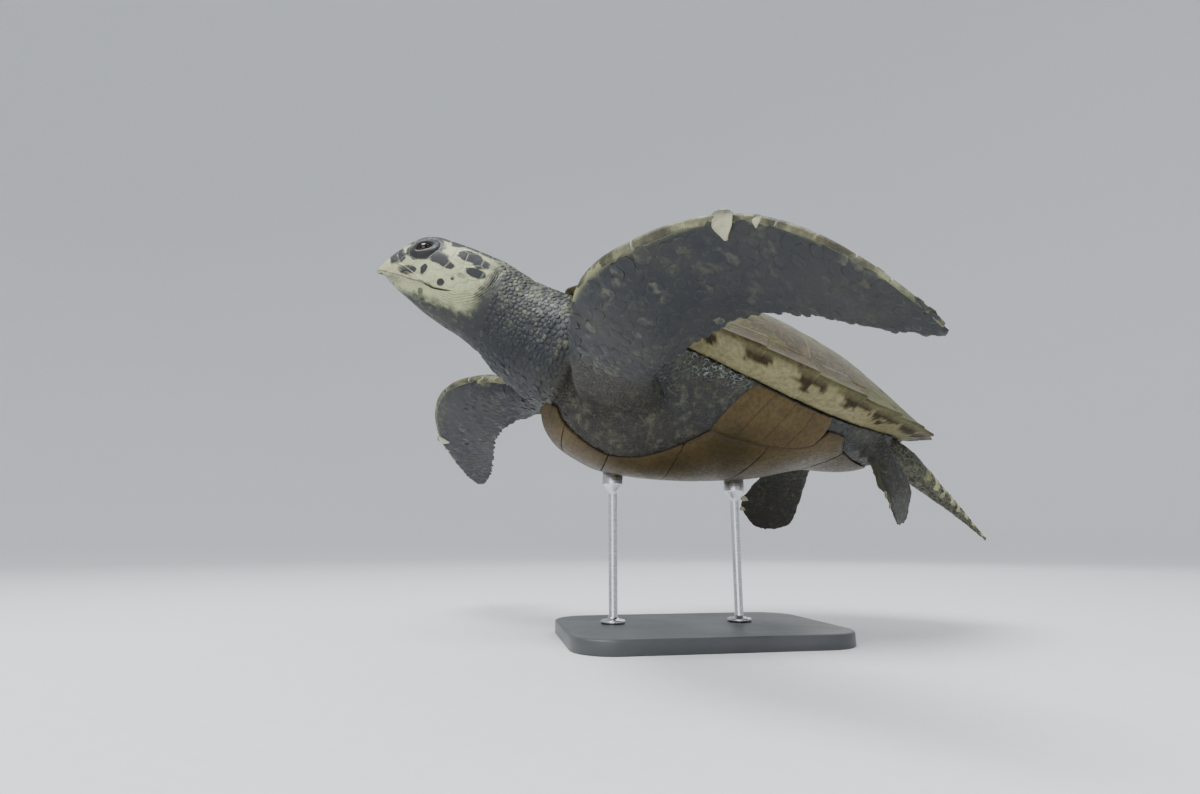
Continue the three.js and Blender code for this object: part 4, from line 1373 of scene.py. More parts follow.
def carapace_scutes():
    """The vertebral and costal plates, each lapping over the plate behind it."""
    halves = np.array([SHELL_LENGTH / 2, SHELL_WIDTH / 2])
    centres = np.array(list(VERTEBRALS) + list(COSTALS) + [(x, -y) for x, y in COSTALS]) * halves
    sizes = np.array([64.0] * 4 + [52.0] + [78, 84, 80, 66] * 2)
    away = centres[None] - centres[:, None]
    compass = circle(96)
    share = even_share(away, (sizes[:, None], sizes[None]))
    reach = cell_reach(away, share, sizes, compass, 0.4, 3)
    reach = reach_within(centres, compass, reach,
                         lambda x, y: turn_and_share(x, y)[1] < PLATE_RING)
    rear = np.maximum(0, -compass[:, 0]) ** 0.8
    edge = centres[:, None] + compass[None] * reach[..., None]
    room = 1 - smoothstep(turn_and_share(edge[..., 0], edge[..., 1])[1], 0.8, PLATE_RING)
    reach = reach + 13 * rear * (0.35 + 0.65 * room)

    def lift(centre, offset):
        back = -offset[..., 0] / 80
        slope = 1.2 + 2.6 * smoothstep(back, -1.0, 1.0)
        middle_row = np.abs(centre[..., 1]) < 1
        keel = np.exp(-((centre[..., 1] + offset[..., 1]) / 8) ** 2) * smoothstep(back, -0.6, 0.7)
        ripple = 0.16 * np.sin(np.linalg.norm(offset, axis=-1) / 2.6)
        return slope + np.where(middle_row, 3.2 * keel, 0) + ripple

    profile = [(1.0, -3.0, 1), (1.0, (-1.5,), 1), (0.992, (-0.5,), 1), (0.975, (0.0,), 0.9)]
    profile += [(s, None, r) for s, r in ((0.94, 0.6), (0.89, 0.3), (0.82, 0.1), (0.73, 0), (0.63, 0),
                                          (0.52, 0), (0.41, 0), (0.3, 0), (0.19, 0), (0.08, 0))]

    def seat(x, y, height):
        return np.stack([x, y, dome_height(x, y) - PLATE_DROP + height], -1)

    return plan_plates("carapace_scutes", centres, sizes, reach, compass, profile, lift, seat)


def marginal_section(turn, progress, rear_most):
    """Section of a marginal: over the top, round the rim, and in underneath to the flesh."""
    edge = rim(turn)
    size = math.hypot(edge[0], edge[1])
    lift = 0.6 + 3.0 * progress
    tooth = SERRATION * rear_most * (1.3 * progress ** 3 - 0.4)
    ring = float(lip_ring(turn))
    points = []
    for share in np.linspace(PLATE_RING - 0.02, 0.985, 9):
        p = dome(turn, share)
        out = 1 + tooth * share ** 8 / size
        points.append((p[0] * out, p[1] * out, p[2] - PLATE_DROP + lift))
    for share, drop in ((0.998, 0.5), (1.003, 2.4), (0.999, 4.6)):
        out = share + (tooth + 0.4 * lift) / size
        points.append((edge[0] * out, edge[1] * out, edge[2] - PLATE_DROP + lift - drop))
    for share in np.linspace(0.985, ring + 0.004, 9):
        shelf = ((0.995 - share) / (0.995 - ring)) ** 0.62
        z = lerp(edge[2] - 5, float(lip_height(turn)), shelf) + 2 - 0.5 * lift
        out = share + tooth * share ** 8 / size
        points.append((edge[0] * out, edge[1] * out, z))
    inner = points[-1]
    points.append((inner[0] * 0.99, inner[1] * 0.99, inner[2] + 6))
    return np.array(points)


def marginals():
    """Eleven marginals and a rear plate on each side, and the nuchal plate at the front."""
    ends = np.linspace(0.15, math.pi, MARGINALS + 1)
    spans = [span for a, b in zip(ends[:-1], ends[1:]) for span in ((a, b), (-a, -b))]
    spans.append((-0.155, 0.155))
    parts, under, rims, rays, blotch = [], [], [], [], []
    for number, (a, b) in enumerate(spans):
        nuchal = number == len(spans) - 1
        lap = 0 if nuchal else 0.028 * np.sign(b)
        last = abs(abs(b) - math.pi) < 1e-6
        steps = np.concatenate([[0.0, 0.012], np.linspace(0.04, 0.96, 18), [0.985, 1.0]])
        rings = []
        for k, t in enumerate(steps):
            turn = lerp(a + 0.002 * np.sign(b), b + (0 if last else lap), t)
            rear = float(smoothstep(-math.cos(turn), -0.3, 0.7)) * (1 - 0.6 * last)
            progress = 0.5 if nuchal else t
            section = marginal_section(turn, progress, 0 if nuchal else rear)
            if k in (0, len(steps) - 1):
                section[:, 2] -= np.where(np.arange(len(section)) < 12, 0.9, -0.6)
            rings.append(section)
        points, faces = closed_loft(rings)
        parts.append((points, faces))
        around = len(rings[0])
        lower = np.concatenate([np.tile(smoothstep(np.arange(around), 10.5, 13), len(steps)), [0, 0]])
        under.append(lower)
        s = np.concatenate([np.repeat(steps, around), [0, 1]])
        side = np.concatenate([np.tile(np.linspace(0, 1, around), len(steps)), [0.5, 0.5]])
        rims.append(np.maximum(smoothstep(s, 0.93, 1), 1 - smoothstep(s, 0, 0.03)))
        rays.append(np.stack([s * 1.5 + number * 2.3, side * 4.5, np.zeros(len(s)) + number], 1))
        merge = smoothstep(-points[:, 0], -60, 260)
        patch = np.hypot(np.minimum(s, 1 - s) / (0.3 + 0.3 * merge), (side - 0.57) / 0.17) \
            + 0.5 * waves(points, 26, 20) + 0.15 * waves(points, 9, 21)
        blotch.append(0.92 * (1 - smoothstep(patch, 0.78, 1.02)) * lower)
    points, faces = joined(parts)
    piece = mesh_object("marginals", points, faces)
    set_attribute(piece, "under", np.concatenate(under))
    set_attribute(piece, "rim", np.concatenate(rims))
    set_attribute(piece, "blotch", np.concatenate(blotch))
    set_vector(piece, "rays", np.concatenate(rays))
    return piece


def carapace_bed():
    """The closed shell under the plates."""
    turns = np.linspace(-math.pi, math.pi, 144, endpoint=False)
    shares = (0.06, 0.15, 0.25, 0.36, 0.47, 0.57, 0.67, 0.76, 0.84, 0.9)
    rings = [dome(turns, share, 4.5) for share in shares]
    rings.append(dome(turns, 0.95, 10))
    rings.append(np.column_stack([0.86 * rim(turns)[:, :2], lip_height(turns) + 9]))
    rings += [dome(turns, share, 14) for share in (0.78, 0.5, 0.2)]
    return mesh_object("carapace_bed", *closed_loft(rings))


PLASTRON_PAIRS = (
    # x, y, size
    (300, 42, 44), (232, 58, 54), (138, 68, 62), (28, 76, 68), (-98, 72, 66), (-212, 40, 52),
)
BRIDGE_INNER, BRIDGE_ENDS = 0.8, 0.88  # share of the belly where the bridge begins: middle, ends
BRIDGE_TUCK = 0.02  # how far the bridge's inner edge runs in under the belly plates, as a share
BRIDGE_PLATES = 4
BRIDGE_FRONT, BRIDGE_REAR = (1.31, 1.47), (1.98, 1.93)  # turns at the bridge's inner and outer edge


def bridge_inner(share):
    """The share of the belly where the bridge begins, along its length from front (0) to rear (1)."""
    return lerp(BRIDGE_INNER, BRIDGE_ENDS, np.abs(2 * share - 1) ** 2.5)


def plastron_plates():
    """The paired belly plates."""
    pairs = np.array(PLASTRON_PAIRS, float)
    centres = np.concatenate([pairs[:, :2], pairs[:, :2] * (1, -1), [[336, 0]]])
    sizes = np.concatenate([pairs[:, 2], pairs[:, 2], [16]])
    away = centres[None] - centres[:, None]
    compass = circle(176)
    share = even_share(away, (sizes[:, None], sizes[None]))
    reach = cell_reach(away, share, sizes, compass, 0.5, 4)
    outline = plastron_outline()

    def inside(x, y):
        turn, part = turn_and_share(x, y)
        part = part / lip_ring(turn)
        share = (np.abs(turn) - BRIDGE_FRONT[0]) / (BRIDGE_REAR[0] - BRIDGE_FRONT[0])
        limit = np.where(np.abs(2 * share - 1) < 1, bridge_inner(share), 0.97)
        return (depth_inside(x, y, outline) > 0.8) & (part < limit)

    reach = reach_within(centres, compass, reach, inside)

    def lift(_, offset):
        return 0.4 + 0.12 * np.sin(np.linalg.norm(offset, axis=-1) / 2.4)

    profile = [(1.0, -4.5, 1), (1.0, (-1.4,), 1), (0.988, (-0.45,), 1), (0.965, (0.0,), 0.85)]
    profile += [(s, None, r) for s, r in ((0.92, 0.4), (0.85, 0.1), (0.75, 0), (0.64, 0), (0.52, 0),
                                          (0.4, 0), (0.27, 0), (0.12, 0))]

    def seat(x, y, height):
        step = 0.5
        z = belly_height(x, y)
        slope_x = (belly_height(x + step, y) - z) / step
        slope_y = (belly_height(x, y + step) - z) / step
        out = unit(np.stack([slope_x, slope_y, -np.ones_like(x)], -1))
        return np.stack([x, y, z], -1) + out * np.broadcast_to(np.asarray(height), x.shape)[..., None]

    return plan_plates("plastron_plates", centres, sizes, reach, compass, profile, lift, seat)


def bridge_plates():
    """The row of plates on each side that joins the belly plates to the marginals."""
    parts, rims, rays = [], [], []
    out = np.linspace(0, 1, 30)
    inward = np.maximum(1 - 1.004 * out, 0.0) ** 2.2
    starts = lerp(BRIDGE_FRONT[0], BRIDGE_FRONT[1], out)
    ends = lerp(BRIDGE_REAR[0], BRIDGE_REAR[1], out)
    steps = np.concatenate([[0.0, 0.0], np.linspace(0.025, 0.975, 22), [1.0, 1.0]])
    for side in (1, -1):
        for number in range(BRIDGE_PLATES):
            rings = []
            for k, t in enumerate(steps):
                share = (number + lerp(0.004, 0.996, t)) / BRIDGE_PLATES
                turn = side * lerp(starts, ends, share)
                across = 1 - (1 - bridge_inner(share) + BRIDGE_TUCK) * inward - 0.0006
                foot = k in (0, len(steps) - 1)
                edge = min(smoothstep(t, 0, 0.05), 1 - smoothstep(t, 0.95, 1))
                tucked = 1 - smoothstep(across - bridge_inner(share), -0.002, 0.004)
                rise = -4.5 if foot else 0.5 * edge - 2.2 * tucked
                rings.append(np.concatenate([belly(turn, across, -rise),
                                             belly(turn, across, 4.5)[::-1]]))
            points, faces = closed_loft(rings)
            parts.append((points, faces))
            along = np.concatenate([np.repeat(steps, 2 * len(out)), [0, 1]])
            rims.append(smoothstep(np.abs(2 * along - 1), 0.93, 1))
            rays.append(points / 60 + number)
    points, faces = joined(parts)
    piece = mesh_object("bridge_plates", points, faces)
    set_attribute(piece, "rim", np.concatenate(rims))
    set_vector(piece, "rays", np.concatenate(rays))
    return piece


# ---------------- the skin as one piece
def closed_skin():
    """The flesh fused into one closed skin, eased where its parts meet."""
    piece = mesh_object("skin", *flesh())
    remesh = piece.modifiers.new("fuse", "REMESH")
    remesh.mode = "VOXEL"
    remesh.voxel_size = VOXEL
    evaluated(piece)
    points = points_of(piece)
    relax(piece, np.full(len(points), 0.5), 3)
    ease = np.max([0.9 * bump_at(points, centre, 0.6 * reach) for centre, reach in JUNCTIONS], 0)
    relax(piece, ease, 60)
    close_hidden(piece)
    keep = smoothstep(points_of(piece)[:, 0], 470, 540)
    group = piece.vertex_groups.new(name="keep")
    for level in range(1, 11):
        chosen = np.nonzero(np.ceil(keep * 10) == level)[0]
        group.add(chosen.tolist(), level / 10, "REPLACE")
    thin = piece.modifiers.new("thin", "DECIMATE")
    thin.ratio = KEPT_SHARE
    thin.vertex_group = "keep"
    thin.invert_vertex_group = True
    thin.vertex_group_factor = 1.0
    evaluated(piece)
    piece.vertex_groups.clear()
    return piece


def near_mouth(points):
    """The skin round the line of the mouth."""
    x, _, z = points.T
    return (np.abs(z - mouth_line(x)) < 7) & (x > 560) & (x < 640)


def on_cheek(points):
    """The skin that carries the arcs of the cheek."""
    x, _, z = points.T
    away = np.hypot(x - JAW_CORNER[0], z - JAW_CORNER[1])
    return (away > 46) & (away < 90) & (x > 478) & (x < 590) & (z > -98) & (z < 8)


def make_skin():
    """The sculpted skin with its lids, and the surface that its scales are seated on."""
    piece = closed_skin()
    refine(piece, on_cheek)
    refine(piece, near_mouth)
    refine(piece, near_mouth)
    whole = SkinSurface(piece)
    lids = [eyelid(side, whole) for side in (1, -1)]
    sculpt(piece)
    surface = SkinSurface(piece)
    lid_points, lid_faces = joined(lids)
    start = len(surface.points)
    bm = bmesh.new()
    bm.from_mesh(piece.data)
    corners = [bm.verts.new(p) for p in lid_points]
    for face in lid_faces:
        bm.faces.new([corners[i] for i in face])
    bmesh.ops.triangulate(bm, faces=[f for f in bm.faces if len(f.verts) > 4])
    bm.to_mesh(piece.data)
    bm.free()
    piece.data.shade_smooth()
    points = points_of(piece)
    paint(piece, points)
    rim = np.zeros(len(points))
    seam = np.zeros(len(points))
    for side in (1, -1):
        centre, long_way, short_way, _ = eye_frame(side)
        offset = points[start:] - centre
        radius = np.hypot(offset @ long_way / EYELID["open_long"],
                          offset @ short_way / EYELID["open_high"])
        low_rear = smoothstep(-(offset @ short_way), -2, 6)
        near = np.linalg.norm(offset, axis=1) < 60
        rim[start:] = np.where(near, (1 - smoothstep(radius, 1.1, 1.3)) * low_rear, rim[start:])
    seam[start:] = 0.55
    set_attribute(piece, "rim", rim)
    set_attribute(piece, "seam", seam)
    return piece, surface


# ---------------- beak and claws
upper_sheath_back = smooth_through(
    (0, 597), (0.05, 618), (0.12, 646), (0.2, 668), (0.32, 681), (0.5, 687), (1, 689))
lower_sheath_back = smooth_through(
    (0, 606), (0.1, 630), (0.25, 660), (0.5, 676), (1, 680))


def beak_shell(upper):
    """One jaw's horn sheath: a bent plate with a sharp cutting edge and a hooked or blunt tip."""
    rings = []
    across = np.linspace(-1, 1, 61)
    share = 1 - np.abs(across)
    for p in np.concatenate([np.linspace(0, 0.12, 6)[:-1], np.linspace(0.12, 0.9, 26),
                             np.linspace(0.92, 1, 9)]):
        back = (upper_sheath_back if upper else lower_sheath_back)(share)
        x = lerp(back, 711.6, p)
        middle = (crown_line(x) + throat_line(x)) / 2
        edge = mouth_line(x) - (lerp(1.2, 6, smoothstep(x, 696, 709)) if upper else -1.5)
        below = np.clip((middle - edge) / (middle - throat_line(x)), 0.0, 0.985)
        start = -np.arcsin(below ** (1 / 0.86))
        angle = lerp(start, math.pi / 2 if upper else -math.pi / 2, share)
        angle = np.where(across < 0, angle, math.pi - angle)
        proud = 0.5 * smoothstep(p, 0.0, 0.16) - 0.6 * (1 - smoothstep(p, 0, 0.03))
        lip = smoothstep(share, 0, 0.08)
        if not upper:
            proud = proud - 1.6 + 0.6 * smoothstep(share, 0.1, 0.5)
        growth = 0.12 * np.sin(p * 60)
        outer = head_surface(x, angle, -(proud + growth) - 0.35 * (1 - lip))
        inner = head_surface(x, angle, 1.4 + (1.2 if not upper else 0.0) - 0.9 * (1 - lip))
        rings.append(np.concatenate([outer, inner[::-1][1:-1:3]]))
    return closed_loft(rings)


def make_beak():
    """The upper and lower beak as two pieces."""
    pieces = []
    for name, upper in (("beak_upper_sheath", True), ("beak_lower_sheath", False)):
        points, faces = beak_shell(upper)
        x, _, z = points.T
        # Painted shadow: the sheaths are darkened along the mouth line, where the upper one overhangs
        # the lower.
        mouth_shadow = 1 - smoothstep(np.abs(z + (1.2 if upper else -0.8) - mouth_line(x)), 0.6, 2.0)
        patches = head_darkness(points)
        dark = 0.12 + 0.9 * patches if upper else 0.15 + 0.75 * patches
        dark = np.clip(np.maximum(dark, 0.8 * mouth_shadow), 0, 1)
        piece = mesh_object(name, points if upper else set_back(points), faces)
        set_attribute(piece, "dark", dark)
        pieces.append(piece)
    return pieces


def claw_loft(shape, at, length):
    """A broad nail that lies over the leading edge from below, its blunt tip just past the edge."""
    at = np.array(at)
    _, along, chord, up = (v.ravel() for v in shape.spine(at[None]))
    inset = COAT_DEPTH - 0.4
    rings, dark = [], []
    angle = np.linspace(0, 2 * math.pi, 28, endpoint=False)
    for t in np.concatenate([np.linspace(0, 0.85, 18), [0.9, 0.94, 0.97, 0.99, 1.0]]):
        back = (1 - t / 0.78) * 0.75 * length
        reach = float(shape.lead(at))
        theta = -math.acos(min(1, max(-1, 1 - max(back, 0) / (reach * 0.93))))
        spot = shape.surface(at, np.array(theta), inset).ravel() + chord * max(0, -back)
        spot = spot + along * 0.2 * length * t * t - up * 0.04 * length * smoothstep(t, 0.7, 1)
        wide = 0.4 * length * (0.16 + 0.84 * smoothstep(t, -0.1, 0.62)) * math.sqrt(max(0.02, 1 - max(
            0, (t - 0.7) / 0.3) ** 2.4))
        thick = 0.1 * length * (1 - 0.35 * t) * (wide / (0.4 * length)) ** 0.3
        rings.append(spot + along * (wide * np.cos(angle))[:, None]
                     + up * (thick * np.sin(angle))[:, None])
        flank = smoothstep(np.abs(np.cos(angle)), 0.93, 1)
        dark.append(np.maximum(0.1 + 0.6 * smoothstep(t, 0.78, 0.92), 0.6 * flank))
    points, faces = closed_loft(rings)
    return points, faces, np.concatenate(dark + [[0.1, 0.6]])


def make_claws():
    """All claws as one piece, and the CAD nodes that it stands for."""
    parts, darks, nodes = [], [], []
    for name, shape in FLIPPER_SHAPES.items():
        for i, (at, length) in enumerate(CLAWS["front" if shape.front else "hind"]):
            points, faces, dark = claw_loft(shape, at, length)
            parts.append((points, faces))
            darks.append(dark)
            nodes.append(f"claw_{name.replace('_flipper', '')}_{i + 1}")
    piece = mesh_object("claws", *joined(parts))
    set_attribute(piece, "dark", np.concatenate(darks))
    return piece, nodes


# ---------------- the coat of scales
def along_back(points):
    """The lie of scales that point to the rear."""
    return np.tile([-1.0, 0.0, -0.1], (len(points), 1))


def neck_scales(surface):
    """Pebbly scales of the neck, small on top and at the sides and wider under the throat."""
    def region(p):
        x, _, z = p.T
        face = np.hypot(x - JAW_CORNER[0], z - JAW_CORNER[1])
        start = 512 - 22 * smoothstep(-z, 5, 60)
        return (x > 318) & (x < start) & ((face > 84) | (z > 5)) & ~clear_of_neck(p)

    def size(p):
        low = 1 - smoothstep(p[:, 2] - throat_line(p[:, 0]), 10, 70)
        return 3.9 + 2.4 * low + 0.6 * smoothstep(-p[:, 0], -430, -350)

    def height(p):
        return 0.42 + 0.5 * smoothstep(p[:, 2] - throat_line(p[:, 0]), 10, 90)

    def unwrap(p):
        middle = (crown_line(p[:, 0]) + throat_line(p[:, 0])) / 2
        turn = np.arctan2(p[:, 2] - middle, p[:, 1])
        return np.stack([(p[:, 0] - 300) / 230 * 0.9 + 0.05, turn / (2 * math.pi) * 0.9 + 0.5], 1)

    places = surface.scatter(region, size, 0.86, SEED)
    return scale_piece("scales_neck", *places, along_back(places[0]), height(places[0]), unwrap, 0)


def clear_of_neck(points):
    """Points that belong to a front flipper or its shoulder, and not to the neck."""
    limit = 150 + 0.25 * (points[:, 0] - 330)
    return np.abs(points[:, 1]) > limit


def flipper_scales(surface, shape):
    """Flat scales on both faces of a flipper, larger towards the leading edge."""
    def region(p):
        chosen = near_flipper(p, shape)
        index = np.nonzero(chosen)[0]
        if len(index):
            u, across = flipper_place(p[index], shape)
            half = np.where(across > 0, shape.lead(u), shape.trail(u))
            chosen[index] = (u > (0.04 if shape.front else 0.0)) & (u < 0.97) \
                & ((1 - np.abs(across)) * half > (1.0 if shape.front else 2.0) * size(p[index])) \
                & (across < (0.8 if shape.front else 0.95))
        return chosen

    def size(p):
        u, across = flipper_place(p, shape)
        full = lerp(6.0, 8.6, smoothstep(across, -0.5, 0.6)) * lerp(1.0, 0.72, smoothstep(u, 0.6, 1))
        return full * (1.0 if shape.front else 0.66)

    def unwrap(p):
        u, across = flipper_place(p, shape)
        middle, _, _, up = shape.spine(u)
        face = np.sign(np.einsum("ij,ij->i", p - middle, up))
        return np.stack([0.06 + 0.88 * np.clip(u, 0, 1),
                         0.5 + 0.22 * face * (1.02 - across) * 0.98], 1)

    places = surface.scatter(region, size, 0.9, SEED + len(shape.name) + shape.side)
    along = shape.spine(flipper_place(places[0], shape)[0])[1]
    height, seam = (0.2, 0.05) if shape.front else (0.24, 0.1)
    return scale_piece("scales_" + shape.name, *places, along, height, unwrap, seam)


def soft_places(points):
    """Where the skin is soft and granular: flanks, shoulders, armpits and groins."""
    x, y, z = points.T
    turn, share = turn_and_share(x, y)
    clear = clear_of_neck(points) | (x < 318)
    for shape in FLIPPER_SHAPES.values():
        clear &= ~near_flipper(points, shape)
    shown = (depth_inside(x, y, plastron_outline()) < 2) & (z < lip_height(turn) + 6)
    return clear & shown & (x < 380) & ((x > -335) | (share < 0.86))


def granule():
    """One low granule, a unit across, its flat foot just under the skin."""
    rings = [(0.52, -0.3), (0.49, 0.02), (0.31, 0.14)]
    around = 5
    compass = circle(around) * (1.25, 1)
    points = [[*(compass[i] * reach), high] for reach, high in rings for i in range(around)]
    piece = mesh_object("granule", np.array(points + [[0, 0, 0.17]]),
                        cap_faces(1, around, len(rings)))
    set_uv(piece, "OFBake", [[2 * BAKE_PATCH * p[0], 2 * BAKE_PATCH * p[1]] for p in points] + [[0, 0]])
    set_attribute(piece, "rim", np.repeat([1, 0.8, 0.2], around).tolist() + [0])
    return piece


def granule_tree(sample, material):
    """Scatters granules over a mesh where its soft attribute is 1, and lays them out for baking."""
    tree = bpy.data.node_groups.new("granules", "GeometryNodeTree")
    sockets = {}
    for name, kind, default in (("Geometry", "NodeSocketGeometry", None),
                                ("Spacing", "NodeSocketFloat", 0.005),
                                ("Size", "NodeSocketFloat", 0.005),
                                ("Seed", "NodeSocketInt", SEED)):
        socket = tree.interface.new_socket(name, in_out="INPUT", socket_type=kind)
        if default is not None:
            socket.default_value = default
        sockets[name] = socket.identifier
    tree.interface.new_socket("Geometry", in_out="OUTPUT", socket_type="NodeSocketGeometry")
    new, link = tree.nodes.new, tree.links.new

    def read(name, kind):
        node = new("GeometryNodeInputNamedAttribute")
        node.data_type = kind
        node.inputs["Name"].default_value = name
        return node.outputs["Attribute"]

    given, result = new("NodeGroupInput"), new("NodeGroupOutput")
    scatter = new("GeometryNodeDistributePointsOnFaces")
    scatter.distribute_method = "POISSON"
    link(given.outputs["Geometry"], scatter.inputs["Mesh"])
    link(given.outputs["Spacing"], scatter.inputs["Distance Min"])
    link(given.outputs["Seed"], scatter.inputs["Seed"])
    scatter.inputs["Density Max"].default_value = 90000
    link(read("soft", "FLOAT"), scatter.inputs["Density Factor"])
    source = new("GeometryNodeObjectInfo")
    source.inputs["Object"].default_value = sample
    vary = new("FunctionNodeRandomValue")
    vary.inputs[2].default_value, vary.inputs[3].default_value = 0.7, 1.2
    link(given.outputs["Seed"], vary.inputs["Seed"])
    scale = new("ShaderNodeMath")
    scale.operation = "MULTIPLY"
    link(given.outputs["Size"], scale.inputs[0])
    link(vary.outputs[1], scale.inputs[1])
    place = new("GeometryNodeInstanceOnPoints")
    link(scatter.outputs["Points"], place.inputs["Points"])
    link(source.outputs["Geometry"], place.inputs["Instance"])
    link(scatter.outputs["Rotation"], place.inputs["Rotation"])
    link(scale.outputs["Value"], place.inputs["Scale"])
    whole = new("GeometryNodeRealizeInstances")
    link(place.outputs["Instances"], whole.inputs["Geometry"])
    spot = new("ShaderNodeVectorMath")
    link(read("OFBake", "FLOAT_VECTOR"), spot.inputs[0])
    link(read("root", "FLOAT_VECTOR"), spot.inputs[1])
    lay = new("GeometryNodeStoreNamedAttribute")
    lay.data_type, lay.domain = "FLOAT2", "CORNER"
    lay.inputs["Name"].default_value = "OFBake"
    link(whole.outputs["Geometry"], lay.inputs["Geometry"])
    link(spot.outputs["Vector"], lay.inputs["Value"])
    finish = new("GeometryNodeSetMaterial")
    finish.inputs["Material"].default_value = material
    link(lay.outputs["Geometry"], finish.inputs["Geometry"])
    link(finish.outputs["Geometry"], result.inputs["Geometry"])
    return tree, sockets


def soft_granules(skin, material):
    """Granules over the soft skin, made by Geometry Nodes on a copy of the skin."""
    piece = bpy.data.objects.new("granules_body", skin.data.copy())
    bpy.context.scene.collection.objects.link(piece)
    inverse = np.array(placing().inverted())
    points = points_of(piece) @ inverse[:3, :3].T + inverse[:3, 3]
    set_attribute(piece, "soft", soft_places(points))
    across = np.where(points[:, 2] > -40, 0.12, -0.12) * np.sign(points[:, 1])
    set_vector(piece, "root", np.stack([0.5 + points[:, 0] / 900, 0.5 + points[:, 1] / 700 + across,
                                        0 * across], 1))
    sample = granule()
    tree, sockets = granule_tree(sample, material)
    modifier = piece.modifiers.new("granules", "NODES")
    modifier.node_group = tree
    modifier[sockets["Spacing"]] = GRANULE_SPACING
    modifier[sockets["Size"]] = GRANULE_SIZE
    modifier[sockets["Seed"]] = SEED
    evaluated(piece)
    bpy.data.objects.remove(sample)
    for name in ("soft", "root", "seam"):
        if name in piece.data.attributes:
            piece.data.attributes.remove(piece.data.attributes[name])
    set_attribute(piece, "seam", 0.15)
    piece.data.shade_smooth()
    return piece


def tail_scales(surface):
    """Scales scattered over the tail, smaller towards its tip."""
    def region(p):
        return (p[:, 0] < -330) & (np.abs(p[:, 1]) < 44) & (p[:, 2] > tail_height(p[:, 0]) - 50)

    def size(p):
        return 2.2 + 2.4 * smoothstep(p[:, 0], -588, -430)

    def unwrap(p):
        turn = np.arctan2(p[:, 2] - tail_height(p[:, 0]), p[:, 1])
        return np.stack([0.5 + (p[:, 0] + 460) / 280 * 0.9, 0.5 + 0.9 * turn / (2 * math.pi)], 1)

    places = surface.scatter(region, size, 0.88, SEED + 4)
    return scale_piece("scales_tail", *places, along_back(places[0]), 0.5, unwrap, 0.5)


LEADING_ENDS = (0.06, 0.12, 0.19, 0.27, 0.36, 0.46, 0.56, 0.645, 0.725, 0.79, 0.85, 0.9, 0.94,
                0.965, 0.984)  # where each long plate ends, along the flipper


def leading_scales(shape):
    """The row of long plates that wraps a front flipper's leading edge."""
    parts, rims = [], []
    across = np.linspace(-1, 1, 17)
    for a, b in zip(LEADING_ENDS[:-1], LEADING_ENDS[1:]):
        rings = []
        for t in np.concatenate([[0.0, 0.0], np.linspace(0.02, 0.98, 14), [1.0, 1.0]]):
            u = lerp(a + 0.0015, b - 0.0015, t)
            shift = 0.25 * (1 - across ** 2)
            place = np.clip(u + 0.012 * shift, 0, 1)
            wide = lerp(0.3, 0.42, smoothstep(u, 0.1, 0.5)) * (0.9 + 0.1 * math.sin(math.pi * t))
            angle = across * wide * 1.15
            rise = 0.9 * (1 - across ** 8) * (0.35 + 0.65 * math.sin(math.pi * min(1, 0.06 + t)) ** 0.35)
            rings.append((place, angle, rise))
        top = np.array([shape.surface(p, g, COAT_DEPTH - r) for p, g, r in rings[1:-1]])
        foot = np.array([shape.surface(p, 0.96 * g, COAT_DEPTH + 1.6) for p, g, _ in rings[1:-1]])
        loops = np.concatenate([top, foot[:, ::-1][:, 1:-1:3]], 1)
        points, faces = closed_loft(loops)
        parts.append((points, faces))
        around = loops.shape[1]
        t = np.linspace(0, 1, len(loops))
        edge = np.abs(2 * t - 1)[:, None] * np.ones(around)
        side = np.concatenate([np.abs(across), np.ones(around - len(across))])
        rim = np.maximum(smoothstep(edge, 0.86, 0.99), smoothstep(side, 0.8, 1.0)[None] * 0.8)
        rims.append(np.concatenate([rim.ravel(), [1, 1]]))
    points, faces = joined(parts)
    piece = mesh_object("edge_scales_" + shape.name, points, faces)
    set_attribute(piece, "rim", np.concatenate(rims))
    set_attribute(piece, "seam", 0.9)
    u, across = flipper_place(points, shape)
    set_attribute(piece, "dark", 0.72 + 0.2 * waves(points, 60, 14))
    set_attribute(piece, "warm", 0.95)
    set_attribute(piece, "pale", 0.06 + 0.1 * waves(points, 40, 15))
    middle, _, _, up = shape.spine(u)
    face = np.einsum("ij,ij->i", points - middle, up)
    set_uv(piece, "OFBake", np.stack([0.05 + 0.9 * u, 0.5 + face / 60], 1))
    return piece


# ---------------- stand
def rounded_outline(half_x, half_y, corner):
    """Corners of a rounded rectangle, anticlockwise."""
    outline = []
    for k, (sx, sy) in enumerate(((1, 1), (-1, 1), (-1, -1), (1, -1))):
        for t in np.linspace(0, math.pi / 2, 10):
            turn = t + k * math.pi / 2
            outline.append((sx * (half_x - corner) + corner * math.cos(turn),
                            sy * (half_y - corner) + corner * math.sin(turn)))
    return np.array(outline)


def make_base(corner):
    """The base plate with eased edges, as large as the CAD plate."""
    low, high = (np.array(v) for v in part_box("stand_base"))
    middle, half = (low + high) / 2, (high - low) / 2
    rings = []
    for inset, z in ((0.006, low[2]), (0.001, low[2]), (0, low[2] + 0.001), (0, high[2] - 0.003),
                     (0.0008, high[2] - 0.0012), (0.0028, high[2]), (0.006, high[2]), (0.03, high[2])):
        flat = rounded_outline(half[0] - inset, half[1] - inset, corner - inset) + middle[:2]
        rings.append(np.column_stack([flat, np.full(len(flat), z)]))
    return mesh_object("base_plate", *closed_loft(rings))


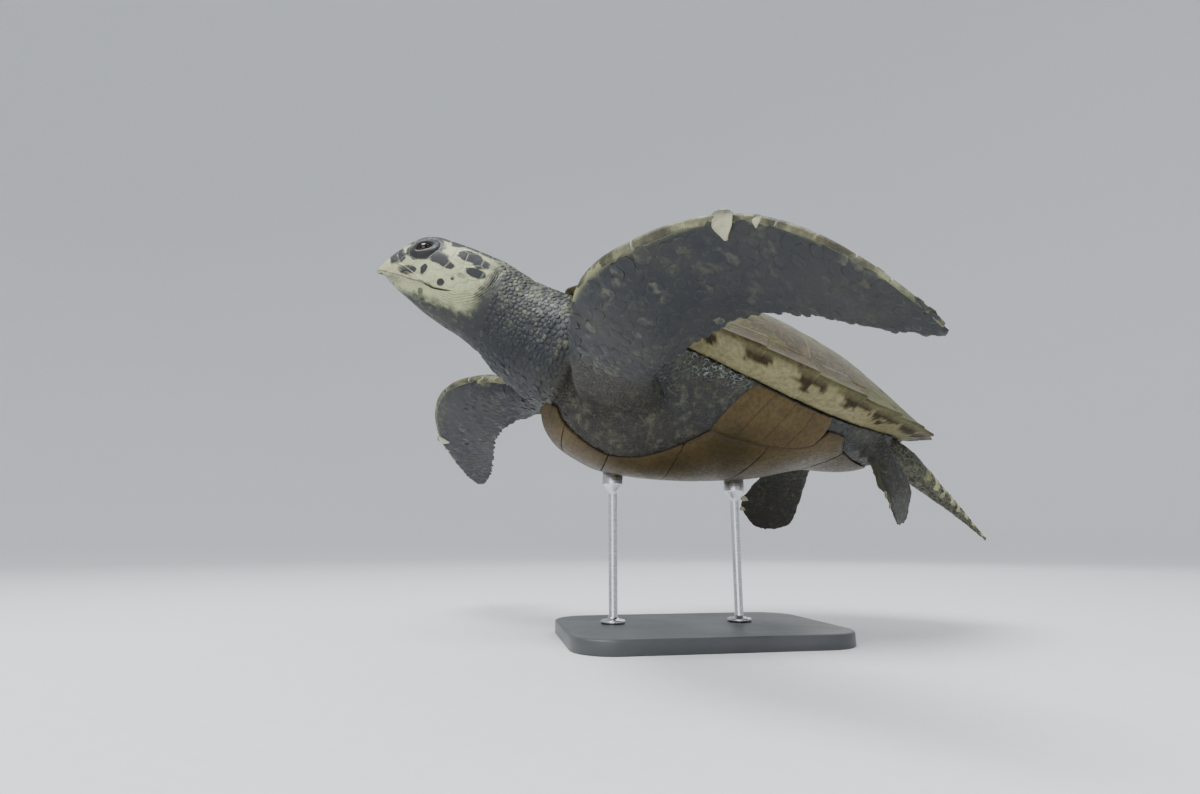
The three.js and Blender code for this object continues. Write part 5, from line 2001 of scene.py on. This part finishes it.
def make_rod(node, radius, cup):
    """A turned rod with a flange below and a cup under the belly."""
    low, high = (np.array(v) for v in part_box(node))
    middle = (low + high) / 2
    flange = (high[0] - low[0]) / 2
    profile = ((0.004, 0), (flange - 0.001, 0), (flange, 0.001), (flange, 0.0045),
               (flange - 0.0012, 0.006), (radius + 0.006, 0.0066), (radius + 0.0015, 0.0085),
               (radius, 0.0125))
    rings = []
    compass = circle(48)
    top = high[2] - low[2]
    cup_start = top - 0.038
    profile += ((radius, cup_start - 0.006), (radius * 1.05, cup_start), (cup, cup_start + 0.011),
                (cup, cup_start + 0.013), (cup, top - 0.001), (cup - 0.001, top), (0.004, top))
    for reach, z in profile:
        rings.append(np.column_stack([middle[:2] + reach * compass,
                                      np.full(len(compass), low[2] + z)]))
    return mesh_object(node.replace("stand_", "") + "_turned", *closed_loft(rings))


# ---------------- settings
def colour_setting(name, description, default):
    return bpy.props.FloatVectorProperty(name=name, description=description, default=default,
                                         subtype="COLOR", size=3, min=0, max=1)


def length_setting(name, description, default):
    return bpy.props.FloatProperty(name=name, description=description, default=default,
                                   unit="LENGTH", subtype="DISTANCE", min=0)


class TurtleColours(bpy.types.PropertyGroup):
    """Colours of the turtle, its stand and the floor."""
    slate: colour_setting("Slate", "Cool ground of the hide", (0.018, 0.021, 0.026))
    # Rim glint: pale lines painted as highlights on the hide under the rim.
    vein: colour_setting("Vein", "Fine pale lines of the hide under the rim", (0.27, 0.31, 0.28))
    umber: colour_setting("Umber", "Warm ground of the hide", (0.028, 0.021, 0.014))
    # Bloom: painted highlight, the lighter patches scattered over the hide.
    bloom: colour_setting("Bloom", "Lighter wear on the hide", (0.062, 0.070, 0.068))
    cream: colour_setting("Cream", "Pale ground of the face", (0.52, 0.52, 0.31))
    moss: colour_setting("Moss", "Greener ground of the face", (0.36, 0.40, 0.22))
    seam: colour_setting("Seam", "Pale skin between the scales", (0.40, 0.44, 0.32))
    edge: colour_setting("Edge", "Pale margins of the flippers", (0.46, 0.46, 0.22))
    tortoise: colour_setting("Tortoise", "Dark ground of the shell", (0.021, 0.013, 0.007))
    amber: colour_setting("Amber", "Rays of the shell", (0.150, 0.090, 0.028))
    algae: colour_setting("Algae", "Greenish bloom on the shell", (0.135, 0.150, 0.072))
    plate_edge: colour_setting("Plate edge", "Worn edges of the plates", (0.21, 0.185, 0.095))
    # Underside: the rim plates' pale olive underside, darkened as painted shade.
    underside: colour_setting("Underside", "Underside of the rim plates", (0.26, 0.24, 0.135))
    # Belly: the plates' olive-brown, darkened as painted shade for the underside.
    belly: colour_setting("Belly", "Belly plates", (0.095, 0.066, 0.027))
    olive: colour_setting("Olive", "Darker belly plates", (0.045, 0.033, 0.014))
    horn: colour_setting("Horn", "Light horn of beak and claws", (0.46, 0.45, 0.29))
    dark_horn: colour_setting("Dark horn", "Dark horn of beak and claws", (0.022, 0.024, 0.027))
    paint: colour_setting("Paint", "Stove paint of the base", (0.045, 0.048, 0.052))
    floor: colour_setting("Floor", "Studio floor", (0.8, 0.81, 0.82))


class TurtleSizes(bpy.types.PropertyGroup):
    """Sizes that a maker would change without touching the CAD."""
    base_corner: length_setting("Base corner", "Corner radius of the base plate", 0.070)
    rod_radius: length_setting("Rod radius", "Radius of the stand's rods", 0.008)
    cup_radius: length_setting("Cup radius", "Radius of the cups under the belly", 0.019)
    floor_radius: length_setting("Floor radius", "Radius of the studio floor", 9.0)


PALETTE = tuple(TurtleColours.__annotations__)


def palette():
    colours = bpy.context.scene.turtle_colours
    return {name: tuple(getattr(colours, name)) for name in PALETTE}


def hide():
    return bpy.data.materials.get("hide") or hide_material(palette())


# ---------------- operators
class Build(bpy.types.Operator):
    """What every operator of this file shares."""
    bl_options = {"REGISTER", "UNDO"}


class TURTLE_OT_skin(Build):
    """One skin over the head, neck, flanks, flippers and tail, with lids round the eyes"""
    bl_idname = "turtle.skin"
    bl_label = "Skin"

    def execute(self, context):
        piece, surface = make_skin()
        SEATS["skin"] = surface
        finish_piece(into_place(piece), hide(), "skin", *SKIN_NODES)
        return {"FINISHED"}


class TURTLE_OT_scales(Build):
    """The scales of the head, neck, flippers, flanks and tail, seated on the skin"""
    bl_idname = "turtle.scales"
    bl_label = "Scales"

    def execute(self, context):
        surface = SEATS["skin"]
        finish_piece(soft_granules(bpy.data.objects["skin"], hide()), hide(), "skin")
        pieces = [head_scutes(surface), neck_scales(surface), tail_scales(surface)]
        for shape in FLIPPER_SHAPES.values():
            pieces.append(flipper_scales(surface, shape))
            if shape.front:
                pieces.append(leading_scales(shape))
        for piece in pieces:
            finish_piece(into_place(piece), hide(), "skin")
        return {"FINISHED"}


class TURTLE_OT_face(Build):
    """The eyes and the two sheaths of the beak"""
    bl_idname = "turtle.face"
    bl_label = "Eyes and beak"

    def execute(self, context):
        wet = eye_material()
        for side, name in ((1, "eye_left"), (-1, "eye_right")):
            points, faces, gaze = eyeball(side)
            ball = mesh_object(name + "_ball", points, faces)
            set_attribute(ball, "gaze", gaze)
            finish_piece(into_place(ball), wet, "eye", name)
        colours = palette()
        horn = horn_material("beak_horn", colours["cream"], colours["dark_horn"], 0.35)
        for piece, node in zip(make_beak(), ("beak_upper", "beak_lower")):
            finish_piece(into_place(piece), horn, "beak", node)
        return {"FINISHED"}


class TURTLE_OT_claws(Build):
    """Two claws on the leading edge of each flipper"""
    bl_idname = "turtle.claws"
    bl_label = "Claws"

    def execute(self, context):
        colours = palette()
        piece, nodes = make_claws()
        horn = horn_material("claw_horn", colours["horn"], colours["dark_horn"], 0.3)
        finish_piece(into_place(piece), horn, "claw", *nodes)
        return {"FINISHED"}


class TURTLE_OT_carapace(Build):
    """The shell: its bed, the thirteen large plates and the saw-edged ring of marginals"""
    bl_idname = "turtle.carapace"
    bl_label = "Carapace"

    def execute(self, context):
        tortoiseshell = shell_material(palette())
        finish_piece(into_place(carapace_bed()), tortoiseshell, "carapace", "carapace")
        for piece in (carapace_scutes(), marginals()):
            finish_piece(into_place(piece), tortoiseshell, "carapace")
        return {"FINISHED"}


class TURTLE_OT_plastron(Build):
    """The paired plates of the belly"""
    bl_idname = "turtle.plastron"
    bl_label = "Plastron"

    def execute(self, context):
        horn = plastron_material(palette())
        finish_piece(into_place(plastron_plates()), horn, "plastron", "plastron")
        finish_piece(into_place(bridge_plates()), horn, "plastron")
        return {"FINISHED"}


class TURTLE_OT_stand(Build):
    """The display stand: a base plate and two rods"""
    bl_idname = "turtle.stand"
    bl_label = "Stand"

    def execute(self, context):
        sizes = context.scene.turtle_sizes
        paint_coat = painted_material("stove_paint", palette()["paint"])
        finish_piece(make_base(sizes.base_corner), paint_coat, "stand_base", "stand_base")
        steel = steel_material()
        for node in ("stand_rod_front", "stand_rod_rear"):
            rod = make_rod(node, sizes.rod_radius, sizes.cup_radius)
            finish_piece(rod, steel, "stand_rod", node)
        return {"FINISHED"}


LAMPS = (
    # name, place, width, power
    ("key", (0.8, -1.4, 3.8), 2.2, 210.0), ("fill", (3.2, -1.6, 1.6), 3.0, 55.0),
    ("back", (-2.6, 2.2, 2.8), 3.0, 50.0),
)
LAMPS_AIM = (0, 0, 0.4)
SKY, SKY_STRENGTH = (0.9, 0.94, 1.0, 1), 1.0
FLOOR_PROFILE = (  # share of the floor's radius, and height as a share of it
    (0.3, 0), (0.55, 0), (0.7, 0.012), (0.82, 0.06), (0.91, 0.15), (0.97, 0.28), (1.0, 0.45),
    (1.0, 0.8), (1.0, 1.2), (0.96, 1.6))
CAMERA_PLACE = (1.181, -0.381, 0.170)
CAMERA_RISE, CAMERA_SWING, CAMERA_LENS = 12.32, 10, 19.64  # degrees, degrees, millimetres


class TURTLE_OT_stage(Build):
    """The pale studio floor, the soft lights and the camera"""
    bl_idname = "turtle.stage"
    bl_label = "Stage"

    def execute(self, context):
        scene = context.scene
        reach = scene.turtle_sizes.floor_radius
        around = 96
        points = [np.column_stack([r * reach * circle(around), np.full(around, z * reach)])
                  for r, z in FLOOR_PROFILE]
        faces = [list(range(around))]
        for r in range(len(FLOOR_PROFILE) - 1):
            faces += band(around, (r + 1) * around, r * around).tolist()
        floor = mesh_object("studio_floor", np.concatenate(points), faces)
        n = Nodes("studio_floor")
        fine = n.noise(n.place(), 40, 4, 0.6)
        colour = palette()["floor"]
        n.link(n.mix(n.stretch(fine, 0.3, 0.7), colour, tuple(0.97 * c for c in colour)),
               n.shader.inputs["Base Color"])
        n.set({"Roughness": 0.75})
        floor.data.materials.append(n.material)

        for name, place, size, power in LAMPS:
            light = bpy.data.lights.new(name, "AREA")
            light.shape = "DISK"
            light.size = size
            light.energy = power
            lamp = bpy.data.objects.new(name, light)
            lamp.location = place
            aim = Vector(LAMPS_AIM) - Vector(place)
            lamp.rotation_euler = aim.to_track_quat("-Z", "Y").to_euler()
            scene.collection.objects.link(lamp)
        world = bpy.data.worlds.new("studio")
        world.use_nodes = True
        background = world.node_tree.nodes["Background"].inputs
        background["Color"].default_value = SKY
        background["Strength"].default_value = SKY_STRENGTH
        scene.world = world

        lens = bpy.data.cameras.new("camera")
        lens.sensor_width = 36
        lens.lens = CAMERA_LENS
        camera = bpy.data.objects.new("camera", lens)
        camera.location = CAMERA_PLACE
        rise, swing = math.radians(CAMERA_RISE), math.radians(CAMERA_SWING)
        ahead = Vector((-math.cos(swing) * math.cos(rise), math.sin(swing) * math.cos(rise),
                        math.sin(rise)))
        camera.rotation_euler = ahead.to_track_quat("-Z", "Y").to_euler()
        scene.collection.objects.link(camera)
        scene.camera = camera
        return {"FINISHED"}


BUILDERS = (TURTLE_OT_skin, TURTLE_OT_scales, TURTLE_OT_face, TURTLE_OT_claws, TURTLE_OT_carapace,
            TURTLE_OT_plastron, TURTLE_OT_stand, TURTLE_OT_stage)
SEATS = {}


class TURTLE_PT_panel(bpy.types.Panel):
    """Lists the steps that build the turtle, and its colours and sizes"""
    bl_idname = "TURTLE_PT_panel"
    bl_label = "Hawksbill turtle"
    bl_space_type = "VIEW_3D"
    bl_region_type = "UI"
    bl_category = "Turtle"

    def draw(self, context):
        column = self.layout.column(align=True)
        for builder in BUILDERS:
            column.operator(builder.bl_idname)
        for group in (context.scene.turtle_sizes, context.scene.turtle_colours):
            box = self.layout.box()
            for name in group.__annotations__:
                box.prop(group, name)


CLASSES = (TurtleColours, TurtleSizes, *BUILDERS, TURTLE_PT_panel)


def register():
    for cls in CLASSES:
        bpy.utils.register_class(cls)
    bpy.types.Scene.turtle_colours = bpy.props.PointerProperty(type=TurtleColours)
    bpy.types.Scene.turtle_sizes = bpy.props.PointerProperty(type=TurtleSizes)


def unregister():
    del bpy.types.Scene.turtle_sizes
    del bpy.types.Scene.turtle_colours
    for cls in reversed(CLASSES):
        bpy.utils.unregister_class(cls)


def main():
    register()
    for builder in BUILDERS:
        group, name = builder.bl_idname.split(".")
        getattr(getattr(bpy.ops, group), name)()


if __name__ == "__main__":
    main()
